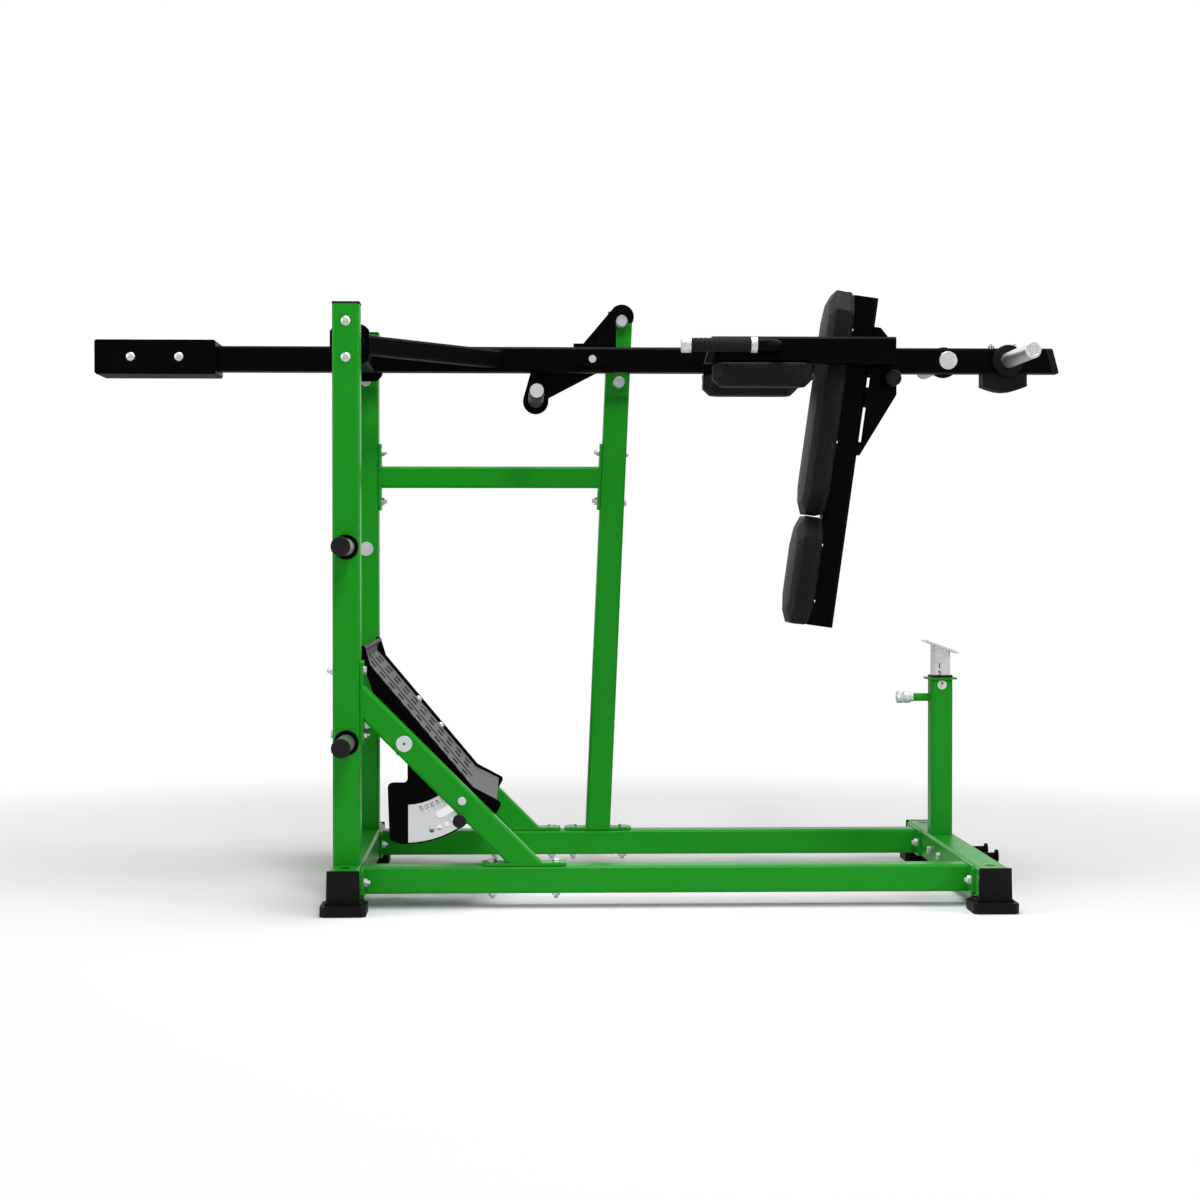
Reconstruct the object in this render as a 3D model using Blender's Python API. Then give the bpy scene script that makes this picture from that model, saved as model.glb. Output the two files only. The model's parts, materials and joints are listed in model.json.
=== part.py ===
"""Pendulum squat machine, modelled as separate pieces.

Metres, +Z up. X runs from the counterweight (-X) to the weight horns (+X), Y across the
machine: -Y is the near side, +Y the far side. Z = 0 is the floor. All places below are
measured from the front frame: x = 0 is the uprights' centre line and y = 0 is midway
between them. One empty, machine_datum, shifts that frame so that the machine's bounding
box is centred on the origin. Pieces that move hang on an empty that sits on their axis.
"""
import math

import bmesh
import bpy
from mathutils import Matrix, Vector

for old_object in list(bpy.data.objects):
    bpy.data.objects.remove(old_object, do_unlink=True)

# Fits between neighbouring solids
gap = 0.0003
running_gap = 0.0005
hole_slack = 0.0008

# Floor frame
member_size = 0.090
member_wall = 0.003
member_lift = 0.038
member_half_length = 0.640
member_hole_radius = 0.016
member_hole_y = 0.570
tube_size = 0.080
tube_wall = 0.003
corner_radius = 0.007
rail_drop = 0.005
track_half = 0.4625
rear_x = 1.870
end_plate = 0.008
rail_plate_length = 0.219
rail_plate_height = 0.086
rail_bolt_spread = 0.081
foot_length = 0.131
foot_reach = 0.022
foot_inset = 0.105
foot_base = 0.030
foot_cap_depth = 0.010
foot_cap_lip = 0.0015

# Uprights and storage pegs
upright_top = 1.7595
post_cap_height = 0.005
peg_heights = (0.484, 1.053)
peg_flange_radius = 0.0365
peg_flange_depth = 0.008
peg_radius = 0.025
peg_wall = 0.003
peg_floor = 0.006
peg_nut_depth = 0.010
peg_reach = 0.212
peg_cap_radius = 0.028
peg_cap_depth = 0.010
peg_washer_radius = 0.023
peg_washer_depth = 0.003

# Diagonal braces at 45 degrees, their centre lines run through the footplate axle
brace_size = 0.072
brace_wall = 0.003
brace_plate_length = 0.245
brace_bolt_spread = 0.093
axle_x = 0.1675
axle_z = 0.4805

# Catch post, stretcher and catch pins
catch_lean = math.radians(2.5)
catch_foot_x = 0.7628
catch_length = 1.700
catch_plate_length = 0.220
catch_bolt_spread = 0.0815
catch_pin_radius = 0.0175
catch_pin_low = 1.468
catch_pin_pitch = 0.199
catch_pin_offset = 0.0025
lug_drop = 0.275
lug_thickness = 0.006
stretcher_z = 1.290
stretcher_size = 0.070
stretcher_plate_height = 0.218
stretcher_bolt_spread = 0.081

# Stop post
stop_size = 0.070
stop_behind = 0.002
stop_top = 0.6355
stop_collar_size = 0.094
stop_collar_depth = 0.006
liner_lip = 0.007
liner_depth = 0.050
stop_tube_size = 0.057
stop_tube_wall = 0.003
stop_tube_low = 0.470
strike_z = 0.7386
strike_angle = math.radians(20.5)
strike_length = 0.109
strike_width = 0.118
strike_depth = 0.006
stop_pin_z = 0.5717
stop_boss_radius = 0.013
stop_boss_reach = 0.054
pin_radius = 0.006
pin_travel = 0.012
stop_knob_radius = 0.019
stop_knob_length = 0.045
knob_gap = 0.009

# Resistance band pegs on the rear cross-member
band_peg_y = (0.008, 0.177)
band_peg_radius = 0.012
band_disc_radius = 0.021
band_disc_depth = 0.009
band_peg_reach = 0.094

# Main pivot
pivot_z = 1.6555
stub_plate_height = 0.150
stub_plate_depth = 0.010
stub_radius = 0.0175
bearing_stand = 0.0925
bearing_size = 0.117
bearing_flange = 0.015
bearing_boss_radius = 0.046
bearing_boss_reach = 0.045
bearing_cut = 0.020
bearing_bolt_spread = 0.046
pivot_bolt_spread = 0.0525
pivot_bolt_radius = 0.008
pivot_end_plate = 0.010

# Swing arm
arm_z = 1.659
arm_y = 0.245
arm_front_x = -0.810
arm_rear_x = 2.2125
end_slant = math.radians(15.0)
end_cap_depth = 0.021
weight_length = 0.381
weight_width = 0.190
weight_height = 0.109
weight_front_x = -0.839
weight_bolt_x = (-0.725, -0.573)
side_brace_size = 0.056
side_brace_start_x = 0.040
side_brace_inset = 0.058
side_brace_end_x = 0.420
vent_radius = 0.004

# Fork round the user's shoulders
carrier_y = -0.135
carrier_front_x = 1.102
carrier_rear_x = 1.656
hinge_stub_width = 0.060
hinge_x = 1.636
hinge_radius = 0.020
cheek_clearance = 0.001
cheek_depth = 0.008
shoulder_pad_x = 1.2485
shoulder_pad_length = 0.307
shoulder_pad_width = 0.110
far_shoulder_pad_y = 0.260
shoulder_pad_depth = 0.0745
shoulder_pad_cut = 0.026
handle_z = 1.6655
handle_out = 0.075
handle_front_x = 0.9915
handle_root_x = 1.290
handle_bend = 0.065
handle_radius = 0.019
handle_core_radius = 0.0155
grip_radius = 0.0215
fitting_radius = 0.0245
end_fitting_length = 0.0295
collar_length = 0.019
grip_length = 0.1815

# Back rest
user_y = 0.050
post_lean = math.radians(7.95)
post_low = (1.446, 0.8078)
post_length = 1.044
pad_width = 0.286
pad_depth = 0.079
pad_corner = 0.066
pad_bevel = 0.038
pad_bevel_depth = 0.021
pad_crown = 0.004
board_depth = 0.0072
upper_pad_span = (0.343, 1.047)
lower_pad_span = (-0.002, 0.337)
tilt_plate_depth = 0.008
back_pin_along = 0.798
back_pin_behind = 0.112
tilt_step = math.radians(5.0)
back_knob_radius = 0.0255

# Weight horns and bumper
near_horn_x = 2.077
far_horn_x = 1.884
horn_radius = 0.025
horn_wall = 0.004
horn_floor = 0.008
horn_near_end_y = -0.180
horn_far_length = 0.385
horn_collar_radius = 0.050
horn_collar_depth = 0.017
horn_washer_radius = 0.029
horn_washer_depth = 0.004
bumper_x = 2.0695
bumper_length = 0.1435
bumper_width = 0.070
bumper_side = 0.042
bumper_crown = 0.018
bumper_stud_spread = 0.038

# Release lever
lever_x = 0.737
lever_shaft_radius = 0.012
lever_flange_half = 0.0595
lever_flange_waist = 0.030
lever_flange_ear = 0.017
lever_flange_depth = 0.013
lever_boss_radius = 0.0235
lever_boss_reach = 0.022
lever_sleeve_radius = 0.0165
lever_sleeve_reach = 0.012
hook_plate_depth = 0.008
catch_pin_root = 0.002
hook_plate_stand = 0.046
hook_lug_reach = 0.1806
hook_lug_drop = 0.1267
hook_lug_radius = 0.0415
hook_head_radius = 0.040
lever_bar_radius = 0.024
lever_bar_wall = 0.003
lever_bar_end_y = -0.160

# Footplate, drawn at its lowest setting, with its axle as the centre
side_plate_stand = 0.0215
side_plate_depth = 0.008
tread_drop = 0.010
tread_depth = 0.005
axle_radius = 0.015
axle_disc_radius = 0.023
axle_disc_depth = 0.004
hub_radius = 0.024
guide_arc_radius = 0.2375
guide_angle = math.radians(45.0)
guide_radius = 0.0115
slot_half_width = 0.0125
setting_arc_radius = 0.2725
setting_angle = math.radians(53.6)
setting_step = math.radians(5.0)
setting_count = 4
setting_hole_radius = 0.008
quadrant_radius = 0.303
scale_inner_radius = 0.187
scale_outer_radius = 0.2985
scale_depth = 0.0015
foot_knob_radius = 0.0195
foot_bush_radius = 0.011
foot_bush_reach = 0.034

# Fasteners
frame_bolt_radius = 0.006
shank_sides = 6
weld_depth = 0.001
round_sides = 20
small_sides = 12
hole_sides = 8

# Worked out from the sizes above
member_top = member_lift + member_size
rail_top = member_top - rail_drop
rail_z = rail_top - tube_size / 2
inner_y = track_half - tube_size / 2
bearing_y = inner_y - bearing_stand
side_brace_start_y = side_brace_inset - bearing_y
side_plate_y = track_half - brace_size / 2 - side_plate_stand
stop_x = rear_x - stop_behind
outer_y = track_half + tube_size / 2
machine_front = weight_front_x
machine_rear = arm_rear_x + end_cap_depth + tube_size / 2 * math.tan(end_slant)
datum_x = -(machine_front + machine_rear) / 2
arm_near = arm_y - tube_size / 2
arm_far = arm_y + tube_size / 2
arm_top = arm_z + tube_size / 2
arm_low = arm_z - tube_size / 2

datum = bpy.data.objects.new("machine_datum", None)
datum.location = (datum_x, 0, 0)
bpy.context.scene.collection.objects.link(datum)


def axis_empty(name, parent, place):
    """An empty on a joint's axis; place is measured in the front frame."""
    empty = bpy.data.objects.new(name, None)
    empty.parent = parent
    empty["place"] = place
    start = Vector(parent["place"]) if "place" in parent else Vector((0, 0, 0))
    empty.location = Vector(place) - start
    bpy.context.scene.collection.objects.link(empty)
    return empty


def post_point(along, forward):
    """A point in the back rest's own plane: up its post and out towards the user."""
    x = post_low[0] + along * math.sin(post_lean) - forward * math.cos(post_lean)
    z = post_low[1] + along * math.cos(post_lean) + forward * math.sin(post_lean)
    return x, z


hinge_z = arm_z
stop_pin_x = stop_x - stop_size / 2 - stop_boss_reach - knob_gap
foot_pin_x = axle_x + setting_arc_radius * math.cos(setting_angle)
foot_pin_z = axle_z - setting_arc_radius * math.sin(setting_angle)
back_pin_x, back_pin_z = post_point(back_pin_along, -back_pin_behind)

arm_axis = axis_empty("arm_swing_axis", datum, (0, 0, pivot_z))
back_axis = axis_empty("back_rest_axis", arm_axis, (hinge_x, user_y, hinge_z))
back_pin_axis = axis_empty("back_pin_axis", arm_axis, (back_pin_x, user_y, back_pin_z))
lever_axis = axis_empty("release_lever_axis", arm_axis, (lever_x, arm_y, arm_z))
foot_axis = axis_empty("footplate_axis", datum, (axle_x, 0, axle_z))
foot_pin_axis = axis_empty("foot_pin_axis", datum, (foot_pin_x, -track_half, foot_pin_z))
stop_axis = axis_empty("stop_tube_axis", datum, (stop_x, arm_y, stop_top))
stop_pin_axis = axis_empty("stop_pin_axis", datum, (stop_pin_x, arm_y, stop_pin_z))

materials = {}


def finish_material(name, colour, roughness, metallic):
    material = bpy.data.materials.new(name)
    material.use_nodes = True
    shader = material.node_tree.nodes["Principled BSDF"]
    shader.inputs["Base Color"].default_value = (*colour, 1.0)
    shader.inputs["Roughness"].default_value = roughness
    shader.inputs["Metallic"].default_value = metallic
    material.diffuse_color = (*colour, 1.0)
    materials[name] = material


finish_material("green_powder_coat", (0.012, 0.27, 0.014), 0.35, 0.0)
finish_material("black_powder_coat", (0.004, 0.004, 0.004), 0.45, 0.0)
finish_material("zinc_steel", (0.60, 0.60, 0.61), 0.30, 1.0)
finish_material("grey_steel", (0.50, 0.50, 0.50), 0.40, 0.6)
finish_material("tread_grey", (0.16, 0.16, 0.16), 0.55, 0.0)
finish_material("black_rubber", (0.010, 0.010, 0.010), 0.70, 0.0)
finish_material("black_plastic", (0.008, 0.008, 0.008), 0.50, 0.0)
finish_material("black_vinyl", (0.020, 0.020, 0.020), 0.55, 0.0)


def add_object(name, mesh_data, material, parent, smooth=False):
    """Turn a bmesh that is drawn in the front frame into a named object under parent."""
    start = Vector(parent["place"]) if "place" in parent else Vector((0, 0, 0))
    bmesh.ops.transform(mesh_data, matrix=Matrix.Translation(-start), verts=mesh_data.verts)
    bmesh.ops.remove_doubles(mesh_data, verts=mesh_data.verts, dist=1e-6)
    bmesh.ops.recalc_face_normals(mesh_data, faces=mesh_data.faces)
    mesh = bpy.data.meshes.new(name)
    mesh_data.to_mesh(mesh)
    mesh_data.free()
    piece = bpy.data.objects.new(name, mesh)
    bpy.context.scene.collection.objects.link(piece)
    piece.parent = parent
    mesh.materials.append(materials[material].copy())
    if smooth:
        mesh.shade_smooth()
        mesh.set_sharp_from_angle(angle=math.radians(35))
    return piece


def combine(piece, tools, operation):
    """Union or cut with bmeshes drawn in the front frame, and keep only the result."""
    parent = piece.parent
    tool = bpy.data.meshes.new("tool")
    joined = bmesh.new()
    for shape in tools:
        part = bpy.data.meshes.new("tool_part")
        bmesh.ops.recalc_face_normals(shape, faces=shape.faces)
        shape.to_mesh(part)
        shape.free()
        joined.from_mesh(part)
        bpy.data.meshes.remove(part)
    start = Vector(parent["place"]) if "place" in parent else Vector((0, 0, 0))
    bmesh.ops.transform(joined, matrix=Matrix.Translation(-start), verts=joined.verts)
    joined.to_mesh(tool)
    joined.free()
    tool_object = bpy.data.objects.new("tool", tool)
    tool_object.parent = parent
    bpy.context.scene.collection.objects.link(tool_object)
    bpy.context.view_layer.update()
    modifier = piece.modifiers.new("combine", "BOOLEAN")
    modifier.operation = operation
    modifier.solver = "EXACT"
    modifier.use_self = len(tools) > 1
    modifier.object = tool_object
    bpy.context.view_layer.update()
    evaluated = piece.evaluated_get(bpy.context.evaluated_depsgraph_get())
    result = bpy.data.meshes.new_from_object(evaluated)
    piece.modifiers.remove(modifier)
    material = piece.data.materials[0]
    piece.data = result
    result.materials.clear()
    result.materials.append(material)
    bpy.data.objects.remove(tool_object, do_unlink=True)
    cleaned = bmesh.new()
    cleaned.from_mesh(result)
    bmesh.ops.dissolve_limit(cleaned, angle_limit=math.radians(0.3), verts=cleaned.verts,
                             edges=cleaned.edges, delimit=set())
    cleaned.to_mesh(result)
    cleaned.free()
    return piece


def rounded_square(size_u, size_v, radius, steps=1):
    """Rectangle with eased corners as (u, v) pairs, anticlockwise."""
    points = []
    for quarter in range(4):
        turn = quarter * math.pi / 2
        sign_u = (1, -1, -1, 1)[quarter]
        sign_v = (1, 1, -1, -1)[quarter]
        centre_u = sign_u * (size_u / 2 - radius)
        centre_v = sign_v * (size_v / 2 - radius)
        for step in range(steps + 1):
            angle = turn + step / steps * math.pi / 2
            points.append((centre_u + radius * math.cos(angle),
                           centre_v + radius * math.sin(angle)))
    return points


def square_tube(start, end, size, wall, up=(0, 0, 1), start_slope=0.0, end_slope=0.0,
                width=None):
    """Open hollow section from start to end. A slope cuts that end at a slant: the end
    moves along the tube by slope times the height above the centre line."""
    start = Vector(start)
    end = Vector(end)
    along = (end - start).normalized()
    up = Vector(up)
    up = (up - along * up.dot(along)).normalized()
    side = up.cross(along)
    width = width or size
    shape = bmesh.new()
    rings = []
    for inset in (0.0, wall):
        radius = max(corner_radius - inset, 0.002)
        outline = rounded_square(width - 2 * inset, size - 2 * inset, radius)
        for point, slope in ((start, start_slope), (end, end_slope)):
            rings.append([shape.verts.new(point + side * u + up * v + along * (slope * v))
                          for u, v in outline])
    outer_a, outer_b, inner_a, inner_b = rings
    count = len(outer_a)
    for i in range(count):
        j = (i + 1) % count
        shape.faces.new((outer_a[i], outer_a[j], outer_b[j], outer_b[i]))
        shape.faces.new((inner_a[j], inner_a[i], inner_b[i], inner_b[j]))
        shape.faces.new((outer_a[j], outer_a[i], inner_a[i], inner_a[j]))
        shape.faces.new((outer_b[i], outer_b[j], inner_b[j], inner_b[i]))
    return shape


def solid_bar(start, end, size, up=(0, 0, 1), start_slope=0.0, end_slope=0.0, width=None,
              radius=0.0):
    """Solid rectangular bar, its corners rounded when a radius is given."""
    start = Vector(start)
    end = Vector(end)
    along = (end - start).normalized()
    up = Vector(up)
    up = (up - along * up.dot(along)).normalized()
    side = up.cross(along)
    width = width or size
    if radius:
        outline = rounded_square(width, size, radius)
    else:
        outline = [(width / 2, size / 2), (-width / 2, size / 2),
                   (-width / 2, -size / 2), (width / 2, -size / 2)]
    shape = bmesh.new()
    ends = []
    for point, slope in ((start, start_slope), (end, end_slope)):
        ends.append([shape.verts.new(point + side * u + up * v + along * (slope * v))
                     for u, v in outline])
    count = len(outline)
    for i in range(count):
        j = (i + 1) % count
        shape.faces.new((ends[0][i], ends[0][j], ends[1][j], ends[1][i]))
    shape.faces.new(ends[0][::-1])
    shape.faces.new(ends[1])
    return shape


def box(low, high):
    """Plain block between two corners."""
    middle_y = (low[1] + high[1]) / 2
    middle_z = (low[2] + high[2]) / 2
    return solid_bar((low[0], middle_y, middle_z), (high[0], middle_y, middle_z),
                     high[2] - low[2], width=high[1] - low[1])


def plate(outline, y_start, y_end):
    """Flat plate in the XZ plane, from an outline of (x, z) points."""
    shape = bmesh.new()
    near = [shape.verts.new((x, y_start, z)) for x, z in outline]
    far = [shape.verts.new((x, y_end, z)) for x, z in outline]
    count = len(outline)
    for i in range(count):
        j = (i + 1) % count
        shape.faces.new((near[i], near[j], far[j], far[i]))
    shape.faces.new(near[::-1])
    shape.faces.new(far)
    return shape


def turned(profile, centre, axis, sides=round_sides):
    """Revolve (radius, distance) pairs about an axis through centre. A closed profile
    gives a ring; an open one that starts and ends on a radius is closed by flat ends."""
    centre = Vector(centre)
    axis = Vector(axis).normalized()
    helper = Vector((0, 0, 1)) if abs(axis.z) < 0.9 else Vector((1, 0, 0))
    side = axis.cross(helper).normalized()
    up = side.cross(axis)
    shape = bmesh.new()
    rings = []
    for radius, distance in profile:
        ring = []
        for k in range(sides):
            angle = 2 * math.pi * k / sides
            ring.append(shape.verts.new(centre + axis * distance
                                        + side * radius * math.cos(angle)
                                        + up * radius * math.sin(angle)))
        rings.append(ring)
    closed = profile[0] == profile[-1]
    if closed:
        for vertex in rings[-1]:
            shape.verts.remove(vertex)
        rings[-1] = rings[0]
    for ring, following in zip(rings, rings[1:]):
        for k in range(sides):
            m = (k + 1) % sides
            shape.faces.new((ring[k], ring[m], following[m], following[k]))
    if not closed:
        shape.faces.new(rings[0][::-1])
        shape.faces.new(rings[-1])
    return shape


def rod(start, end, radius, sides=small_sides):
    start = Vector(start)
    end = Vector(end)
    return turned([(radius, 0.0), (radius, (end - start).length)], start, end - start, sides)


def pipe(start, end, radius, bore, sides=small_sides):
    start = Vector(start)
    end = Vector(end)
    length = (end - start).length
    profile = [(radius, 0.0), (radius, length), (bore, length), (bore, 0.0), (radius, 0.0)]
    return turned(profile, start, end - start, sides)


def swept(points, radii, sides=small_sides):
    """Round bar through a row of points that lie in one plane of constant Z."""
    shape = bmesh.new()
    rings = []
    up = Vector((0, 0, 1))
    points = [Vector(point) for point in points]
    for index, point in enumerate(points):
        before = points[max(index - 1, 0)]
        after = points[min(index + 1, len(points) - 1)]
        along = (after - before).normalized()
        side = along.cross(up)
        radius = radii[index]
        rings.append([shape.verts.new(point
                                      + side * radius * math.cos(2 * math.pi * k / sides)
                                      + up * radius * math.sin(2 * math.pi * k / sides))
                      for k in range(sides)])
    for ring, following in zip(rings, rings[1:]):
        for k in range(sides):
            m = (k + 1) % sides
            shape.faces.new((ring[k], ring[m], following[m], following[k]))
    shape.faces.new(rings[0][::-1])
    shape.faces.new(rings[-1])
    return shape


def bolt(plate_face, far_face, radius=frame_bolt_radius, nut_far=True, sides=shank_sides):
    """Tightened hexagon bolt, one solid with the plate it clamps. It starts on the plate's
    face and runs through the plate and its neighbour to the far face."""
    plate_face = Vector(plate_face)
    far_face = Vector(far_face)
    grip = (far_face - plate_face).length + gap
    across = radius * 1.75
    head = 1.25 * radius
    nut = 1.6 * radius
    tail = 2.9 * radius
    if nut_far:
        profile = [(across, -head), (across, weld_depth), (radius, weld_depth), (radius, grip),
                   (across, grip), (across, grip + nut), (radius, grip + nut),
                   (radius, grip + tail)]
    else:
        profile = [(radius, -tail), (radius, -nut), (across, -nut), (across, weld_depth),
                   (radius, weld_depth), (radius, grip), (across, grip),
                   (across, grip + head)]
    return turned(profile, plate_face, far_face - plate_face, sides)


def button_bolt(plate_face, far_face, radius, sides=8):
    """Bolt with a round head on the far face and its nut on the plate it is one with."""
    plate_face = Vector(plate_face)
    far_face = Vector(far_face)
    grip = (far_face - plate_face).length + gap
    head = radius * 1.8
    profile = [(radius, -2.4 * radius), (radius, -1.5 * radius), (head, -1.5 * radius),
               (head, weld_depth), (radius, weld_depth), (radius, grip), (head, grip),
               (head * 0.9, grip + 0.6 * radius), (head * 0.62, grip + 1.05 * radius)]
    return turned(profile, plate_face, far_face - plate_face, sides)


def bolt_hole(start, end, radius=frame_bolt_radius, sides=shank_sides):
    """Cutter for a bolt's clearance hole, run past both ends."""
    start = Vector(start)
    end = Vector(end)
    reach = (end - start).normalized() * 0.004
    clear = (radius + hole_slack) / math.cos(math.pi / sides)
    return rod(start - reach, end + reach, clear, sides)


def cross_member(name, centre_x):
    """Floor tube across the machine, its rubber feet's access holes near the ends."""
    z = member_lift + member_size / 2
    member = square_tube((centre_x, -member_half_length, z), (centre_x, member_half_length, z),
                         member_size, member_wall)
    piece = add_object(name, member, "green_powder_coat", datum)
    cutters = [rod((centre_x, side * member_hole_y, z),
                   (centre_x, side * member_hole_y, member_top + 0.01), member_hole_radius)
               for side in (-1, 1)]
    out_x = centre_x - member_size / 2
    in_x = centre_x + member_size / 2
    for side in (-1, 1):
        for offset in (-rail_bolt_spread, rail_bolt_spread):
            y = side * track_half + offset
            cutters.append(bolt_hole((out_x, y, rail_z), (in_x, y, rail_z)))
    return piece, cutters


def base_rail(name, side):
    """Long floor tube with an end plate at each cross-member, bolted through it."""
    y = side * track_half
    front = member_size / 2 + gap
    rear = rear_x - member_size / 2 - gap
    rail = square_tube((front + end_plate / 2, y, rail_z), (rear - end_plate / 2, y, rail_z),
                       tube_size, tube_wall)
    piece = add_object(name, rail, "green_powder_coat", datum)
    additions = [solid_bar((x, y, rail_z), (x + end_plate, y, rail_z), rail_plate_height,
                           width=rail_plate_length, radius=0.012)
                 for x in (front, rear - end_plate)]
    for offset in (-rail_bolt_spread, rail_bolt_spread):
        bolt_y = y + offset
        additions.append(bolt((front + end_plate, bolt_y, rail_z),
                              (-member_size / 2, bolt_y, rail_z), nut_far=False))
        additions.append(bolt((rear - end_plate, bolt_y, rail_z),
                              (rear_x + member_size / 2, bolt_y, rail_z), nut_far=False))
    combine(piece, additions, "UNION")
    return piece, []


def foot(name, centre_x, side):
    """Rubber foot: a block under the tube and a cap that closes the tube's end."""
    tip = member_half_length + gap
    half = foot_length / 2
    lift = member_lift - gap
    low_y, high_y = sorted((side * (tip + foot_cap_depth + foot_reach),
                            side * (member_half_length - foot_inset)))
    base = solid_bar((centre_x, low_y, foot_base / 2), (centre_x, high_y, foot_base / 2),
                     foot_base, width=foot_length, radius=0.006)
    pad_y, pad_end = sorted((side * (tip + foot_cap_depth - 0.001),
                             side * (member_half_length - foot_inset + 0.012)))
    pad = box((centre_x - half + 0.012, pad_y, foot_base - 0.004),
              (centre_x + half - 0.012, pad_end, lift))
    cap_y, cap_end = sorted((side * tip, side * (tip + foot_cap_depth)))
    cap_half = member_size / 2 + foot_cap_lip
    cap = box((centre_x - cap_half, cap_y, foot_base - 0.006),
              (centre_x + cap_half, cap_end, member_top + foot_cap_lip))
    piece = add_object(name, base, "black_rubber", datum)
    combine(piece, [pad, cap], "UNION")


front_member, front_cutters = cross_member("front_crossmember", 0.0)
rear_member, rear_cutters = cross_member("rear_crossmember", rear_x)
near_rail, near_rail_cutters = base_rail("near_base_rail", -1)
far_rail, far_rail_cutters = base_rail("far_base_rail", 1)
foot("front_near_foot", 0.0, -1)
foot("front_far_foot", 0.0, 1)
foot("rear_near_foot", rear_x, -1)
foot("rear_far_foot", rear_x, 1)

# Band pegs: a bar with a disc, its bolt run through the rear cross-member to a nut
band_z = member_lift + member_size / 2
band_face = rear_x + member_size / 2 + gap
band_run = member_size + 2 * gap
for name, y in zip(("near_band_peg", "far_band_peg"), band_peg_y):
    across = 1.75 * frame_bolt_radius
    profile = [(frame_bolt_radius, -band_run - 0.018), (frame_bolt_radius, -band_run - 0.010),
               (across, -band_run - 0.010), (across, -band_run), (frame_bolt_radius, -band_run),
               (frame_bolt_radius, 0.0), (band_peg_radius, 0.0),
               (band_peg_radius, band_peg_reach - band_disc_depth),
               (band_disc_radius, band_peg_reach - band_disc_depth),
               (band_disc_radius, band_peg_reach)]
    peg = turned(profile, (band_face, y, band_z), (1, 0, 0), small_sides)
    add_object(name, peg, "black_powder_coat", datum, smooth=True)
    rear_cutters.append(bolt_hole((rear_x - member_size / 2, y, band_z),
                                  (rear_x + member_size / 2, y, band_z), sides=hole_sides))

upright_low = member_top + gap


def upright(name, side):
    """Upright tube with its closed top. Returns it with the cutters for its bolt holes."""
    y = side * track_half
    tube = square_tube((0, y, upright_low), (0, y, upright_top), tube_size, tube_wall,
                       up=(0, 1, 0))
    piece = add_object(name, tube, "green_powder_coat", datum)
    top = solid_bar((0, y, upright_top - weld_depth), (0, y, upright_top + post_cap_height),
                    tube_size, up=(0, 1, 0), radius=corner_radius)
    combine(piece, [top], "UNION")
    cutters = [bolt_hole((0, side * inner_y, z), (0, side * outer_y, z), sides=hole_sides)
               for z in peg_heights]
    for offset in (-pivot_bolt_spread, pivot_bolt_spread):
        cutters.append(bolt_hole((0, side * outer_y, pivot_z + offset),
                                 (0, side * inner_y, pivot_z + offset), pivot_bolt_radius,
                                 sides=hole_sides))
    return piece, cutters


def storage_peg(name, side, z):
    """Plate peg on a long bolt: flange, tube and end cap outside the upright, washer and
    nut inside it."""
    root = (0, side * (outer_y + gap), z)
    run = tube_size + 2 * gap
    shank = frame_bolt_radius
    bore = peg_radius - peg_wall
    washer = -run - peg_washer_depth
    profile = [(shank * 1.6, washer - peg_nut_depth), (shank * 1.6, washer),
               (peg_washer_radius, washer), (peg_washer_radius, -run), (shank, -run),
               (shank, peg_reach - peg_floor),
               (bore, peg_reach - peg_floor), (bore, 0.0), (peg_flange_radius, 0.0),
               (peg_flange_radius, peg_flange_depth), (peg_radius, peg_flange_depth),
               (peg_radius, peg_reach), (peg_cap_radius, peg_reach),
               (peg_cap_radius, peg_reach + peg_cap_depth * 0.7),
               (peg_cap_radius * 0.92, peg_reach + peg_cap_depth)]
    add_object(name, turned(profile, root, (0, side, 0), 12), "grey_steel", datum, smooth=True)


def stub_shaft(name, side):
    """Stub shaft on a foot plate, held to the upright's inner face by two bolts."""
    plate_face = side * (inner_y - gap)
    inner_face = plate_face - side * stub_plate_depth
    back = solid_bar((0, plate_face, pivot_z), (0, inner_face, pivot_z), stub_plate_height,
                     width=tube_size - 0.004, radius=0.006)
    piece = add_object(name, back, "zinc_steel", datum)
    stub_end = side * (bearing_y + 0.003)
    additions = [rod((0, inner_face + side * weld_depth, pivot_z), (0, stub_end, pivot_z),
                     stub_radius, round_sides)]
    for offset in (-pivot_bolt_spread, pivot_bolt_spread):
        z = pivot_z + offset
        additions.append(button_bolt((0, inner_face, z), (0, side * outer_y, z),
                                     pivot_bolt_radius))
    combine(piece, additions, "UNION")


near_upright, near_upright_cutters = upright("near_upright", -1)
far_upright, far_upright_cutters = upright("far_upright", 1)
storage_peg("near_upper_peg", -1, peg_heights[1])
storage_peg("near_lower_peg", -1, peg_heights[0])
storage_peg("far_upper_peg", 1, peg_heights[1])
storage_peg("far_lower_peg", 1, peg_heights[0])
stub_shaft("near_stub_shaft", -1)
stub_shaft("far_stub_shaft", 1)


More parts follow.
